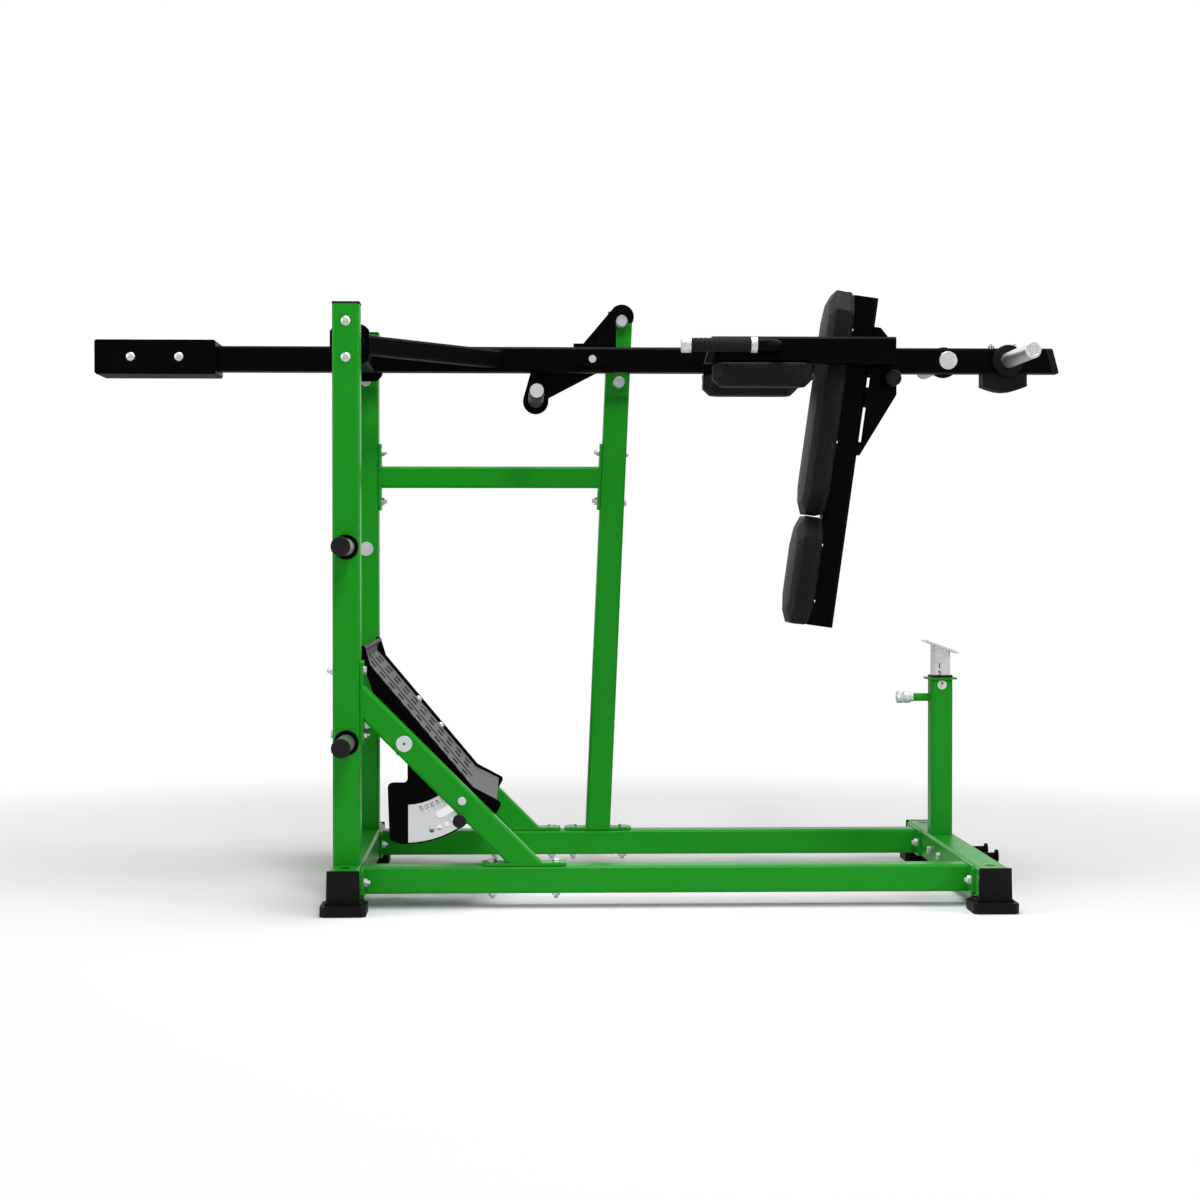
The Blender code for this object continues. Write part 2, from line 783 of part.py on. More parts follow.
def brace(name, side, cutters_upright, cutters_rail):
    """Diagonal brace at 45 degrees between an upright and its rail."""
    y = side * track_half
    line = axle_x + axle_z
    plate_x = tube_size / 2 + gap
    plate_z = rail_top + gap
    top_z = line - plate_x - end_plate
    low_x = line - plate_z - end_plate
    tube = square_tube((plate_x + end_plate / 2, y, line - plate_x - end_plate / 2),
                       (line - plate_z - end_plate / 2, y, plate_z + end_plate / 2),
                       brace_size, brace_wall, start_slope=-1.0, end_slope=1.0)
    piece = add_object(name, tube, "green_powder_coat", datum)
    additions = [solid_bar((plate_x, y, top_z), (plate_x + end_plate, y, top_z),
                           brace_plate_length, width=tube_size - 0.006, radius=0.006),
                 solid_bar((low_x, y, plate_z), (low_x, y, plate_z + end_plate),
                           brace_plate_length, up=(1, 0, 0), width=tube_size - 0.006,
                           radius=0.006)]
    for offset in (-brace_bolt_spread, brace_bolt_spread):
        z = top_z + offset
        additions.append(bolt((plate_x + end_plate, y, z), (-tube_size / 2, y, z),
                              nut_far=offset > 0))
        cutters_upright.append(bolt_hole((-tube_size / 2, y, z), (tube_size / 2, y, z)))
        x = low_x + offset
        additions.append(bolt((x, y, plate_z + end_plate), (x, y, rail_top - tube_size)))
        cutters_rail.append(bolt_hole((x, y, rail_top), (x, y, rail_top - tube_size)))
    combine(piece, additions, "UNION")
    cutters = [bolt_hole((axle_x, y - brace_size / 2, axle_z),
                         (axle_x, y + brace_size / 2, axle_z), axle_radius, sides=14)]
    return piece, cutters


near_brace, near_brace_cutters = brace("near_brace", -1, near_upright_cutters,
                                       near_rail_cutters)
far_brace, far_brace_cutters = brace("far_brace", 1, far_upright_cutters, far_rail_cutters)

# The near brace also carries the pull pin's bush and the quadrant's guide bolt
brace_near_face = -track_half - brace_size / 2
brace_inner_face = -track_half + brace_size / 2
plate_near = -side_plate_y - side_plate_depth / 2
plate_inner = -side_plate_y + side_plate_depth / 2
bush_out = brace_near_face - foot_bush_reach
bush = rod((foot_pin_x, bush_out, foot_pin_z), (foot_pin_x, brace_inner_face, foot_pin_z),
           foot_bush_radius)
guide_x = axle_x + guide_arc_radius * math.cos(guide_angle)
guide_z = axle_z - guide_arc_radius * math.sin(guide_angle)
guide_run = plate_inner - brace_near_face
guide_profile = [(0.012, -0.005), (0.012, weld_depth), (guide_radius, weld_depth),
                 (guide_radius, guide_run + 0.001), (0.018, guide_run + 0.001),
                 (0.018, guide_run + 0.004), (0.010, guide_run + 0.004),
                 (0.010, guide_run + 0.012)]
guide_bolt = turned(guide_profile, (guide_x, brace_near_face, guide_z), (0, 1, 0), 10)
combine(near_brace, [bush, guide_bolt], "UNION")
near_brace_cutters.append(rod((foot_pin_x, bush_out - 0.004, foot_pin_z),
                              (foot_pin_x, brace_inner_face + 0.004, foot_pin_z),
                              pin_radius + running_gap))

# Catch post, leaning back, with a doubler plate at its top and two pins for the hook
lean_up = Vector((math.sin(catch_lean), 0, math.cos(catch_lean)))
lean_out = Vector((math.cos(catch_lean), 0, -math.sin(catch_lean)))
catch_plate_z = rail_top + gap
catch_low = Vector((catch_foot_x, track_half, catch_plate_z + end_plate))
catch_high = catch_low + lean_up * catch_length
catch_tube = square_tube(catch_low - lean_up * (end_plate / 2 / math.cos(catch_lean)),
                         catch_high, tube_size, tube_wall, up=(1, 0, 0),
                         start_slope=math.tan(catch_lean))
catch_post = add_object("catch_post", catch_tube, "green_powder_coat", datum)
catch_base = solid_bar((catch_foot_x, track_half, catch_plate_z),
                       (catch_foot_x, track_half, catch_plate_z + end_plate),
                       catch_plate_length, up=(1, 0, 0), width=tube_size - 0.006, radius=0.008)
catch_top = solid_bar(catch_high - lean_up * weld_depth, catch_high + lean_up * post_cap_height,
                      tube_size, up=(1, 0, 0), radius=corner_radius)
lug_top = catch_high - lean_up * 0.002
lug_half = tube_size / 2 - 0.002
lug_outline = []
for along, across in ((0.0, -lug_half), (0.0, lug_half), (lug_drop - 0.010, lug_half),
                      (lug_drop, lug_half * 0.55), (lug_drop - 0.004, 0.0),
                      (lug_drop, -lug_half * 0.55), (lug_drop - 0.010, -lug_half)):
    point = lug_top - lean_up * along + lean_out * across
    lug_outline.append((point.x, point.z))
lug = plate(lug_outline, inner_y - lug_thickness, inner_y + tube_wall / 2)
hook_near = arm_far + hook_plate_stand
hook_far = hook_near + hook_plate_depth
catch_additions = [catch_base, catch_top, lug]
for k in range(2):
    centre = catch_low + lean_up * (catch_pin_low + k * catch_pin_pitch)
    centre = centre + lean_out * catch_pin_offset
    centre.y = hook_far + gap
    catch_additions.append(turned([(catch_pin_radius - 0.002, 0), (catch_pin_radius, 0.002),
                                   (catch_pin_radius, inner_y + catch_pin_root - centre.y)],
                                  centre, (0, 1, 0)))
catch_cutters = []
for offset in (-catch_bolt_spread, catch_bolt_spread):
    x = catch_foot_x + offset
    seat = (x, track_half, catch_plate_z + end_plate)
    under = (x, track_half, rail_top - tube_size)
    catch_additions.append(bolt(seat, under))
    far_rail_cutters.append(bolt_hole((x, track_half, rail_top), under))
combine(catch_post, catch_additions, "UNION")

# Stretcher between the far upright and the catch post
stretcher_start = tube_size / 2 + gap
catch_mid = catch_low + lean_up * ((stretcher_z - catch_low.z) / math.cos(catch_lean))
face_point = catch_mid - lean_out * (tube_size / 2 + gap)
plate_point = face_point - lean_out * end_plate
stretcher = square_tube((stretcher_start + end_plate / 2, track_half, stretcher_z),
                        (face_point.x - end_plate / 2, track_half, stretcher_z),
                        stretcher_size, brace_wall, end_slope=math.tan(catch_lean))
far_stretcher = add_object("far_stretcher", stretcher, "green_powder_coat", datum)
stretcher_additions = [solid_bar((stretcher_start, track_half, stretcher_z),
                                 (stretcher_start + end_plate, track_half, stretcher_z),
                                 stretcher_plate_height, width=tube_size - 0.006,
                                 radius=0.006),
                       solid_bar(plate_point, face_point, stretcher_plate_height,
                                 width=tube_size - 0.006, radius=0.006)]
for offset in (-stretcher_bolt_spread, stretcher_bolt_spread):
    seat = Vector((stretcher_start + end_plate, track_half, stretcher_z + offset))
    head = Vector((-tube_size / 2, track_half, stretcher_z + offset))
    stretcher_additions.append(bolt(seat, head, nut_far=False))
    far_upright_cutters.append(bolt_hole(head, (tube_size / 2, track_half, head.z)))
    seat = plate_point + lean_up * offset
    head = seat + lean_out * (end_plate + gap + tube_size)
    stretcher_additions.append(bolt(seat, head, nut_far=False))
    catch_cutters.append(bolt_hole(seat + lean_out * end_plate, head))
combine(far_stretcher, stretcher_additions, "UNION")
vent_x = stretcher_start + 0.06
combine(far_stretcher, [rod((vent_x, track_half, stretcher_z - stretcher_size),
                            (vent_x, track_half, stretcher_z), vent_radius, 8)],
        "DIFFERENCE")
combine(catch_post, catch_cutters, "DIFFERENCE")

for piece, cutters in ((front_member, front_cutters), (rear_member, rear_cutters),
                       (near_rail, near_rail_cutters), (far_rail, far_rail_cutters),
                       (near_upright, near_upright_cutters), (far_upright, far_upright_cutters),
                       (near_brace, near_brace_cutters), (far_brace, far_brace_cutters)):
    combine(piece, cutters, "DIFFERENCE")

# Stop post with its collar and the boss of its pull pin
stop_low = member_top + gap
stop_face = stop_x - stop_size / 2
stop_tube_half = stop_tube_size / 2
stop_post = add_object("stop_post", square_tube((stop_x, arm_y, stop_low),
                                                (stop_x, arm_y, stop_top), stop_size,
                                                tube_wall, up=(0, 1, 0)),
                       "green_powder_coat", datum)
collar = solid_bar((stop_x, arm_y, stop_top - stop_collar_depth + 0.001),
                   (stop_x, arm_y, stop_top + 0.001), stop_collar_size, up=(0, 1, 0),
                   radius=0.004)
boss = rod((stop_face - stop_boss_reach, arm_y, stop_pin_z), (stop_face + 0.001, arm_y,
                                                              stop_pin_z), stop_boss_radius)
combine(stop_post, [collar, boss], "UNION")
liner_half = stop_size / 2 - tube_wall - gap
collar_bore = solid_bar((stop_x, arm_y, stop_top - stop_collar_depth - 0.004),
                        (stop_x, arm_y, stop_top + 0.006), 2 * (liner_half + gap),
                        up=(0, 1, 0))
pin_bore = rod((stop_face - stop_boss_reach - 0.004, arm_y, stop_pin_z),
               (stop_face + tube_wall + 0.004, arm_y, stop_pin_z), pin_radius + running_gap)
combine(stop_post, [collar_bore, pin_bore], "DIFFERENCE")

liner_base = stop_top + 0.001 + gap
liner_bore = stop_tube_half + running_gap
liner = square_tube((stop_x, arm_y, stop_top - liner_depth), (stop_x, arm_y, liner_base),
                    2 * liner_half, liner_half - liner_bore, up=(0, 1, 0))
stop_liner = add_object("stop_post_liner", liner, "black_plastic", datum)
lip = solid_bar((stop_x, arm_y, liner_base), (stop_x, arm_y, liner_base + liner_lip), stop_size,
                up=(0, 1, 0), radius=0.004)
combine(stop_liner, [lip], "UNION")
combine(stop_liner, [solid_bar((stop_x, arm_y, stop_top - liner_depth - 0.004),
                               (stop_x, arm_y, liner_base + liner_lip + 0.004),
                               2 * liner_bore, up=(0, 1, 0), radius=0.002)], "DIFFERENCE")

# Sliding stop tube with its slanted strike plate
strike_up = Vector((math.sin(strike_angle), 0, math.cos(strike_angle)))
strike_along = Vector((math.cos(strike_angle), 0, -math.sin(strike_angle)))
strike_centre = Vector((stop_x, arm_y, strike_z))
stop_tube = add_object("stop_tube",
                       square_tube((stop_x, arm_y, stop_tube_low),
                                   (stop_x, arm_y, strike_z - strike_depth * 0.5),
                                   stop_tube_size, stop_tube_wall, up=(1, 0, 0),
                                   end_slope=-math.tan(strike_angle)),
                       "grey_steel", stop_axis)
strike = solid_bar(strike_centre - strike_along * strike_length / 2 - strike_up
                   * strike_depth / 2, strike_centre + strike_along * strike_length / 2
                   - strike_up * strike_depth / 2, strike_depth, up=strike_up,
                   width=strike_width)
combine(stop_tube, [strike], "UNION")

tip_reach = stop_x - stop_tube_half - gap - stop_pin_x
stop_pin = turned([(stop_knob_radius * 0.9, -stop_knob_length), (stop_knob_radius,
                                                                 -stop_knob_length + 0.003),
                   (stop_knob_radius, -0.003), (stop_knob_radius * 0.9, 0),
                   (pin_radius, 0), (pin_radius, tip_reach)],
                  (stop_pin_x, arm_y, stop_pin_z), (1, 0, 0), 14)
add_object("stop_pin", stop_pin, "zinc_steel", stop_pin_axis, smooth=True)

# Swing arm: a long tube with a pivot tube welded across it, a side brace and a hinge stub
arm = add_object("arm_tube", square_tube((arm_front_x, arm_y, arm_z), (arm_rear_x, arm_y, arm_z),
                                         tube_size, tube_wall, end_slope=-math.tan(end_slant)),
                 "black_powder_coat", arm_axis)
arm_cutters = []
add_object("arm_end_cap", solid_bar((arm_rear_x + gap, arm_y, arm_z),
                                    (arm_rear_x + end_cap_depth, arm_y, arm_z), tube_size,
                                    start_slope=-math.tan(end_slant),
                                    end_slope=-math.tan(end_slant), radius=corner_radius),
           "black_rubber", arm_axis)
add_object("carrier_end_cap", solid_bar((carrier_front_x - end_cap_depth, carrier_y, arm_z),
                                        (carrier_front_x - gap, carrier_y, arm_z), tube_size,
                                        start_slope=math.tan(end_slant),
                                        end_slope=math.tan(end_slant), radius=corner_radius),
           "black_rubber", arm_axis)

# Counterweight: a steel block over the arm's front end, with two bolts through both
weight_rear_x = weight_front_x + weight_length
weight_outline = rounded_square(weight_length, weight_height, 0.005)
weight_mid_x = weight_front_x + weight_length / 2
counterweight = add_object("counterweight",
                           plate([(weight_mid_x + u, arm_z + v) for u, v in weight_outline],
                                 arm_y - weight_width / 2, arm_y + weight_width / 2),
                           "black_powder_coat", arm_axis)
tunnel = solid_bar((arm_front_x - gap, arm_y, arm_z), (weight_rear_x + 0.01, arm_y, arm_z),
                   tube_size + 2 * gap, radius=corner_radius)
combine(counterweight, [tunnel], "DIFFERENCE")
weight_bolts = []
for x in weight_bolt_x:
    near_face = arm_y - weight_width / 2
    head = 1.8 * pivot_bolt_radius
    profile = [(0.6 * head, -1.0 * pivot_bolt_radius), (head, -0.5 * pivot_bolt_radius),
               (head, weld_depth), (pivot_bolt_radius, weld_depth),
               (pivot_bolt_radius, weight_width - weld_depth), (head, weight_width - weld_depth),
               (head, weight_width + 1.4 * pivot_bolt_radius)]
    weight_bolts.append(turned(profile, (x, near_face, arm_z), (0, 1, 0), hole_sides))
    arm_cutters.append(bolt_hole((x, arm_near, arm_z), (x, arm_far, arm_z), pivot_bolt_radius,
                                 sides=hole_sides))
combine(counterweight, weight_bolts, "UNION")

# The pivot tube's two halves end in plates that carry the flange bearings
arm_additions = []
for side, root in ((-1, arm_near + tube_wall / 2), (1, arm_far - tube_wall / 2)):
    outer = side * (bearing_y - gap)
    inner = outer - side * pivot_end_plate
    arm_additions.append(square_tube((0, min(root, outer - side * 0.002), pivot_z),
                                     (0, max(root, outer - side * 0.002), pivot_z), tube_size,
                                     tube_wall))
    arm_additions.append(solid_bar((0, min(outer, inner), pivot_z), (0, max(outer, inner),
                                                                     pivot_z),
                                   bearing_size - 0.004, radius=0.012))
    arm_cutters.append(rod((0, min(outer, inner) - 0.004, pivot_z),
                           (0, max(outer, inner) + 0.004, pivot_z), stub_radius + 0.004))

# Side brace from the near end of the pivot tube to the arm, cut square to both
brace_end = Vector((side_brace_end_x, arm_near, arm_z))
brace_run = (brace_end - Vector((side_brace_start_x, side_brace_start_y, arm_z))).normalized()
inside_x = tube_size / 2 - tube_wall / 2
inside_y = arm_near + tube_wall / 2
side_start = brace_end - brace_run * ((side_brace_end_x - inside_x + 0.06) / brace_run.x)
side_end = brace_end + brace_run * 0.08
side_brace = add_object("side_brace", square_tube(side_start, side_end, side_brace_size,
                                                  brace_wall), "black_powder_coat", arm_axis)
reach = 0.16
combine(side_brace, [box((inside_x - reach, side_brace_start_y - reach, arm_z - 0.1),
                         (inside_x, arm_near, arm_z + 0.1)),
                     box((side_brace_end_x - reach, inside_y, arm_z - 0.1),
                         (side_brace_end_x + reach, inside_y + reach, arm_z + 0.1))],
        "DIFFERENCE")
brace_shape = bmesh.new()
brace_shape.from_mesh(side_brace.data)
bmesh.ops.transform(brace_shape, matrix=Matrix.Translation(Vector(arm_axis["place"])),
                    verts=brace_shape.verts)
bpy.data.objects.remove(side_brace, do_unlink=True)
arm_additions.append(brace_shape)
brace_mid = brace_end - brace_run * 0.25
arm_cutters.append(rod((brace_mid.x, brace_mid.y, arm_z - side_brace_size),
                       (brace_mid.x, brace_mid.y, arm_z), vent_radius, 8))

for side in (-1, 1):
    half = bearing_size / 2
    flange_outline = [(half - bearing_cut, half), (half, half - bearing_cut),
                      (half, -half + bearing_cut), (half - bearing_cut, -half),
                      (-half + bearing_cut, -half), (-half, -half + bearing_cut),
                      (-half, half - bearing_cut), (-half + bearing_cut, half)]
    seat = side * bearing_y
    outer = seat + side * bearing_flange
    housing = plate([(x, pivot_z + z) for x, z in flange_outline], min(seat, outer),
                    max(seat, outer))
    name = "near_flange_bearing" if side < 0 else "far_flange_bearing"
    bearing = add_object(name, housing, "black_powder_coat", arm_axis)
    boss = turned([(bearing_boss_radius, bearing_flange - weld_depth),
                   (bearing_boss_radius, bearing_boss_reach - 0.004),
                   (bearing_boss_radius - 0.004, bearing_boss_reach)],
                  (0, seat, pivot_z), (0, side, 0))
    combine(bearing, [boss], "UNION")
    bore = rod((0, seat - side * 0.004, pivot_z),
               (0, seat + side * (bearing_boss_reach + 0.004), pivot_z),
               stub_radius + gap, round_sides)
    combine(bearing, [bore], "DIFFERENCE")

# Near shoulder carrier. Both hinge stubs end in a cheek beside the back rest's post
carrier = add_object("near_carrier",
                     square_tube((carrier_front_x, carrier_y, arm_z),
                                 (carrier_rear_x, carrier_y, arm_z), tube_size, tube_wall,
                                 start_slope=math.tan(end_slant)), "black_powder_coat",
                     arm_axis)
carrier_inner = carrier_y + tube_size / 2
cheek_half = tube_size / 2 + cheek_clearance
cheek_outline = [(hinge_x - 0.030, arm_z + 0.038), (hinge_x + 0.030, arm_z + 0.038),
                 (back_pin_x + 0.020, back_pin_z + 0.030),
                 (back_pin_x + 0.020, back_pin_z - 0.018),
                 (back_pin_x - 0.020, back_pin_z - 0.022), (hinge_x - 0.016, back_pin_z + 0.014),
                 (hinge_x - 0.030, arm_z - 0.038)]
for side, root in ((-1, carrier_inner - tube_wall / 2), (1, arm_near + tube_wall / 2)):
    inner = user_y + side * cheek_half
    face = inner + side * cheek_depth
    weld = face - side * weld_depth
    shapes = [square_tube((hinge_x, min(root, weld), arm_z), (hinge_x, max(root, weld), arm_z),
                          tube_size - 0.004, tube_wall, width=hinge_stub_width),
              plate(cheek_outline, min(face, inner), max(face, inner))]
    holes = [rod((hinge_x, inner - side * 0.004, hinge_z),
                 (hinge_x, face + side * 0.012, hinge_z), hinge_radius + gap, round_sides)]
    if side < 0:
        end = box((carrier_rear_x - tube_wall, carrier_y - tube_size / 2 + 0.001,
                   arm_z - tube_size / 2 + 0.001),
                  (carrier_rear_x - weld_depth, carrier_y + tube_size / 2 - 0.001,
                   arm_z + tube_size / 2 - 0.001))
        holes.append(rod((back_pin_x, inner + 0.004, back_pin_z),
                         (back_pin_x, face - 0.012, back_pin_z), pin_radius + running_gap))
        combine(carrier, shapes + [end], "UNION")
        combine(carrier, holes, "DIFFERENCE")
    else:
        arm_additions += shapes
        arm_cutters += holes
add_object("hinge_shaft", rod((hinge_x, user_y - cheek_half - cheek_depth, hinge_z),
                              (hinge_x, user_y + cheek_half + cheek_depth, hinge_z),
                              hinge_radius, round_sides), "zinc_steel", arm_axis, smooth=True)


def pad_rings(half_length, half_width, corner):
    """Octagon with cut corners, as (along, across) pairs."""
    return [(half_length, half_width - corner), (half_length - corner, half_width),
            (-half_length + corner, half_width), (-half_length, half_width - corner),
            (-half_length, -half_width + corner), (-half_length + corner, -half_width),
            (half_length - corner, -half_width), (half_length, -half_width + corner)]


def cushion(place, along, across, out, length, width, depth, corner, bevel, bevel_depth,
            crown, board=0.0):
    """Upholstered pad on its board: cut corners, a wide bevel round its front, sides that
    draw in a little between the edges, and a crowned front. Rings run from the back to the
    front, and each side of the octagon is split so that it can bow."""
    place, along, across, out = (Vector(v) for v in (place, along, across, out))
    half_l = length / 2
    half_w = width / 2
    side_depth = depth - bevel_depth
    levels = [(board, 0.004), (board + 0.15 * side_depth, 0.0), (0.5 * side_depth, 0.0015),
              (side_depth, 0.0), (side_depth + 0.42 * (bevel_depth - crown), 0.42 * bevel),
              (depth - crown, bevel), (depth - 0.35 * crown, bevel + 0.25 * half_w)]
    if board:
        levels = [(0.0, 0.012), (board, 0.012)] + levels
    shape = bmesh.new()
    rings = []
    for height, inset in levels:
        cut = corner * max(1 - inset / half_w, 0.2)
        outline = pad_rings(half_l - inset, half_w - inset, cut)
        ring = []
        for k, (s, w) in enumerate(outline):
            s2, w2 = outline[(k + 1) % len(outline)]
            for part in (0.0, 0.5):
                u = s + (s2 - s) * part
                v = w + (w2 - w) * part
                ring.append(shape.verts.new(place + along * u + across * v + out * height))
        rings.append(ring)
    count = len(rings[0])
    for ring, following in zip(rings, rings[1:]):
        for k in range(count):
            m = (k + 1) % count
            shape.faces.new((ring[k], ring[m], following[m], following[k]))
    shape.faces.new(rings[0][::-1])
    middle = shape.verts.new(place + out * depth)
    for k in range(count):
        shape.faces.new((rings[-1][k], rings[-1][(k + 1) % count], middle))
    return shape


pad_top_z = arm_low - gap
for name, y in (("near_shoulder_pad", carrier_y), ("far_shoulder_pad", far_shoulder_pad_y)):
    pad = cushion((shoulder_pad_x, y, pad_top_z), (1, 0, 0), (0, 1, 0), (0, 0, -1),
                  shoulder_pad_length, shoulder_pad_width, shoulder_pad_depth,
                  shoulder_pad_cut, 0.022, 0.026, 0.003)
    add_object(name, pad, "black_vinyl", arm_axis, smooth=True)

# Handles: a bent bar with its end cap and collar, and a grip between the two
bend_steps = 6
for name, side, root_face in (("near", -1, carrier_y - tube_size / 2), ("far", 1, arm_far)):
    root_y = root_face + side * gap
    bar_y = root_face + side * handle_out
    grip_start = handle_front_x + end_fitting_length
    grip_end = grip_start + grip_length
    collar_end = grip_end + collar_length
    path = [(handle_front_x, bar_y), (handle_front_x + 0.003, bar_y), (grip_start, bar_y),
            (grip_start + 0.0002, bar_y), (grip_end, bar_y), (grip_end + 0.0002, bar_y),
            (collar_end, bar_y), (collar_end + 0.0002, bar_y)]
    radii = [fitting_radius - 0.003, fitting_radius, fitting_radius, handle_core_radius,
             handle_core_radius, fitting_radius, fitting_radius, handle_radius]
    bend_x = handle_root_x - handle_bend
    for step in range(bend_steps + 1):
        angle = step / bend_steps * math.pi / 2
        path.append((bend_x + handle_bend * math.sin(angle),
                     bar_y - side * handle_bend * (1 - math.cos(angle))))
        radii.append(handle_radius)
    path.append((handle_root_x, root_y))
    radii.append(handle_radius)
    add_object(name + "_handle_bar", swept([(x, y, handle_z) for x, y in path], radii),
               "black_powder_coat", arm_axis, smooth=True)
    add_object(name + "_grip", pipe((grip_start + 2 * gap, bar_y, handle_z),
                                    (grip_end - gap, bar_y, handle_z), grip_radius,
                                    handle_core_radius + gap, 20), "black_rubber", arm_axis,
               smooth=True)

# Weight horns: a sleeve on a long bolt through the arm, with a washer on its other face
for name, x, side, length in (("near", near_horn_x, -1, arm_near - horn_near_end_y),
                              ("far", far_horn_x, 1, horn_far_length)):
    face = arm_y + side * (tube_size / 2 + gap)
    run = tube_size + 2 * gap
    bore = horn_radius - horn_wall
    shank = pivot_bolt_radius
    profile = [(horn_washer_radius, -run - horn_washer_depth), (horn_washer_radius, -run),
               (shank, -run), (shank, length - horn_floor), (bore, length - horn_floor),
               (bore, 0.0), (horn_radius, 0.0), (horn_radius, length),
               (0.0165, length), (0.0155, length - 0.003)]
    add_object(name + "_weight_horn", turned(profile, (x, face, arm_z), (0, side, 0), 16),
               "zinc_steel", arm_axis, smooth=True)
    add_object(name + "_horn_collar", pipe((x, face, arm_z),
                                           (x, face + side * horn_collar_depth, arm_z),
                                           horn_collar_radius, horn_radius + gap, 16),
               "black_rubber", arm_axis, smooth=True)
    arm_cutters.append(bolt_hole((x, arm_near, arm_z), (x, arm_far, arm_z),
                                 pivot_bolt_radius, sides=hole_sides))

# Rubber bumper under the arm, with two studs up through it
bumper_top = arm_low - gap
half = bumper_length / 2
bumper_outline = [(bumper_x - half, bumper_top), (bumper_x - half, bumper_top - bumper_side)]
for step in range(1, 6):
    part = step / 6
    drop = bumper_side + bumper_crown * math.sin(part * math.pi)
    bumper_outline.append((bumper_x - half + bumper_length * part, bumper_top - drop))
bumper_outline += [(bumper_x + half, bumper_top - bumper_side), (bumper_x + half, bumper_top)]
bumper = add_object("arm_bumper", plate(bumper_outline, arm_y - bumper_width / 2,
                                        arm_y + bumper_width / 2), "black_rubber", arm_axis)
studs = []
for offset in (-bumper_stud_spread, bumper_stud_spread):
    x = bumper_x + offset
    radius = frame_bolt_radius
    top = tube_size + gap
    studs.append(turned([(radius, -bumper_side * 0.5), (radius, top), (1.75 * radius, top),
                         (1.75 * radius, top + 1.6 * radius), (radius, top + 1.6 * radius),
                         (radius, top + 2.6 * radius)], (x, arm_y, arm_low), (0, 0, 1),
                        shank_sides))
    arm_cutters.append(bolt_hole((x, arm_y, arm_low), (x, arm_y, arm_top)))
combine(bumper, studs, "UNION")

# Lever bearing: an oval flange on the arm's near face with a sleeve through the arm


def oval_outline():
    """Two-bolt flange: a round middle run out into two ears."""
    points = []
    ear_x = lever_flange_half - lever_flange_ear
    for centre, radius, start, end in ((ear_x, lever_flange_ear, -70, 70),
                                       (0.0, lever_flange_waist, 72, 108),
                                       (-ear_x, lever_flange_ear, 110, 250),
                                       (0.0, lever_flange_waist, 252, 288)):
        steps = 5 if centre else 2
        for step in range(steps + 1):
            angle = math.radians(start + (end - start) * step / steps)
            points.append((lever_x + centre + radius * math.cos(angle),
                           arm_z + radius * math.sin(angle)))
    return points


bearing_face = arm_near - gap
lever_bearing = add_object("lever_bearing", plate(oval_outline(), bearing_face
                                                  - lever_flange_depth, bearing_face),
                           "black_powder_coat", arm_axis)
sleeve_end = arm_far + lever_sleeve_reach
boss = turned([(lever_boss_radius, lever_flange_depth - weld_depth),
               (lever_boss_radius, lever_boss_reach)], (lever_x, bearing_face, arm_z),
              (0, -1, 0))
sleeve = rod((lever_x, bearing_face - weld_depth, arm_z), (lever_x, sleeve_end, arm_z),
             lever_sleeve_radius)
combine(lever_bearing, [boss, sleeve], "UNION")
combine(lever_bearing, [rod((lever_x, bearing_face - lever_boss_reach - 0.004, arm_z),
                            (lever_x, sleeve_end + 0.004, arm_z), lever_shaft_radius + gap,
                            round_sides)], "DIFFERENCE")
arm_cutters.append(bolt_hole((lever_x, arm_near, arm_z), (lever_x, arm_far, arm_z),
                             lever_sleeve_radius, sides=16))
combine(arm, arm_additions, "UNION")
combine(arm, arm_cutters, "DIFFERENCE")

stop_base = box((lever_x - 0.059, arm_y - 0.030, arm_top + gap),
                (lever_x + 0.057, arm_y + 0.030, arm_top + 0.012))
stop_block = box((lever_x + 0.022, arm_y - 0.030, arm_top + 0.010),
                 (lever_x + 0.056, arm_y + 0.012, arm_top + 0.024))
stop_roll = rod((lever_x + 0.039, arm_y - 0.026, arm_top + 0.0315),
                (lever_x + 0.039, arm_y + 0.008, arm_top + 0.0315), 0.0135, 12)
lever_stop = add_object("lever_stop", stop_base, "black_powder_coat", arm_axis)
combine(lever_stop, [stop_block], "UNION")
combine(lever_stop, [stop_roll], "UNION")

# Hook plate: lug for the bar at one end, a hook open downwards at the other
pin_top = catch_low + lean_up * (catch_pin_low + catch_pin_pitch) + lean_out * catch_pin_offset
mouth_radius = catch_pin_radius + 0.002
head_radius = hook_head_radius
lug_x = lever_x - hook_lug_reach
lug_z = arm_z - hook_lug_drop
lug_radius = hook_lug_radius
bar_x = lug_x
bar_z = lug_z


def arc(centre_x, centre_z, radius, start, end, steps):
    """Points on an arc, angles in degrees, from +X towards +Z."""
    points = []
    for step in range(steps + 1):
        angle = math.radians(start + (end - start) * step / steps)
        points.append((centre_x + radius * math.cos(angle), centre_z + radius * math.sin(angle)))
    return points


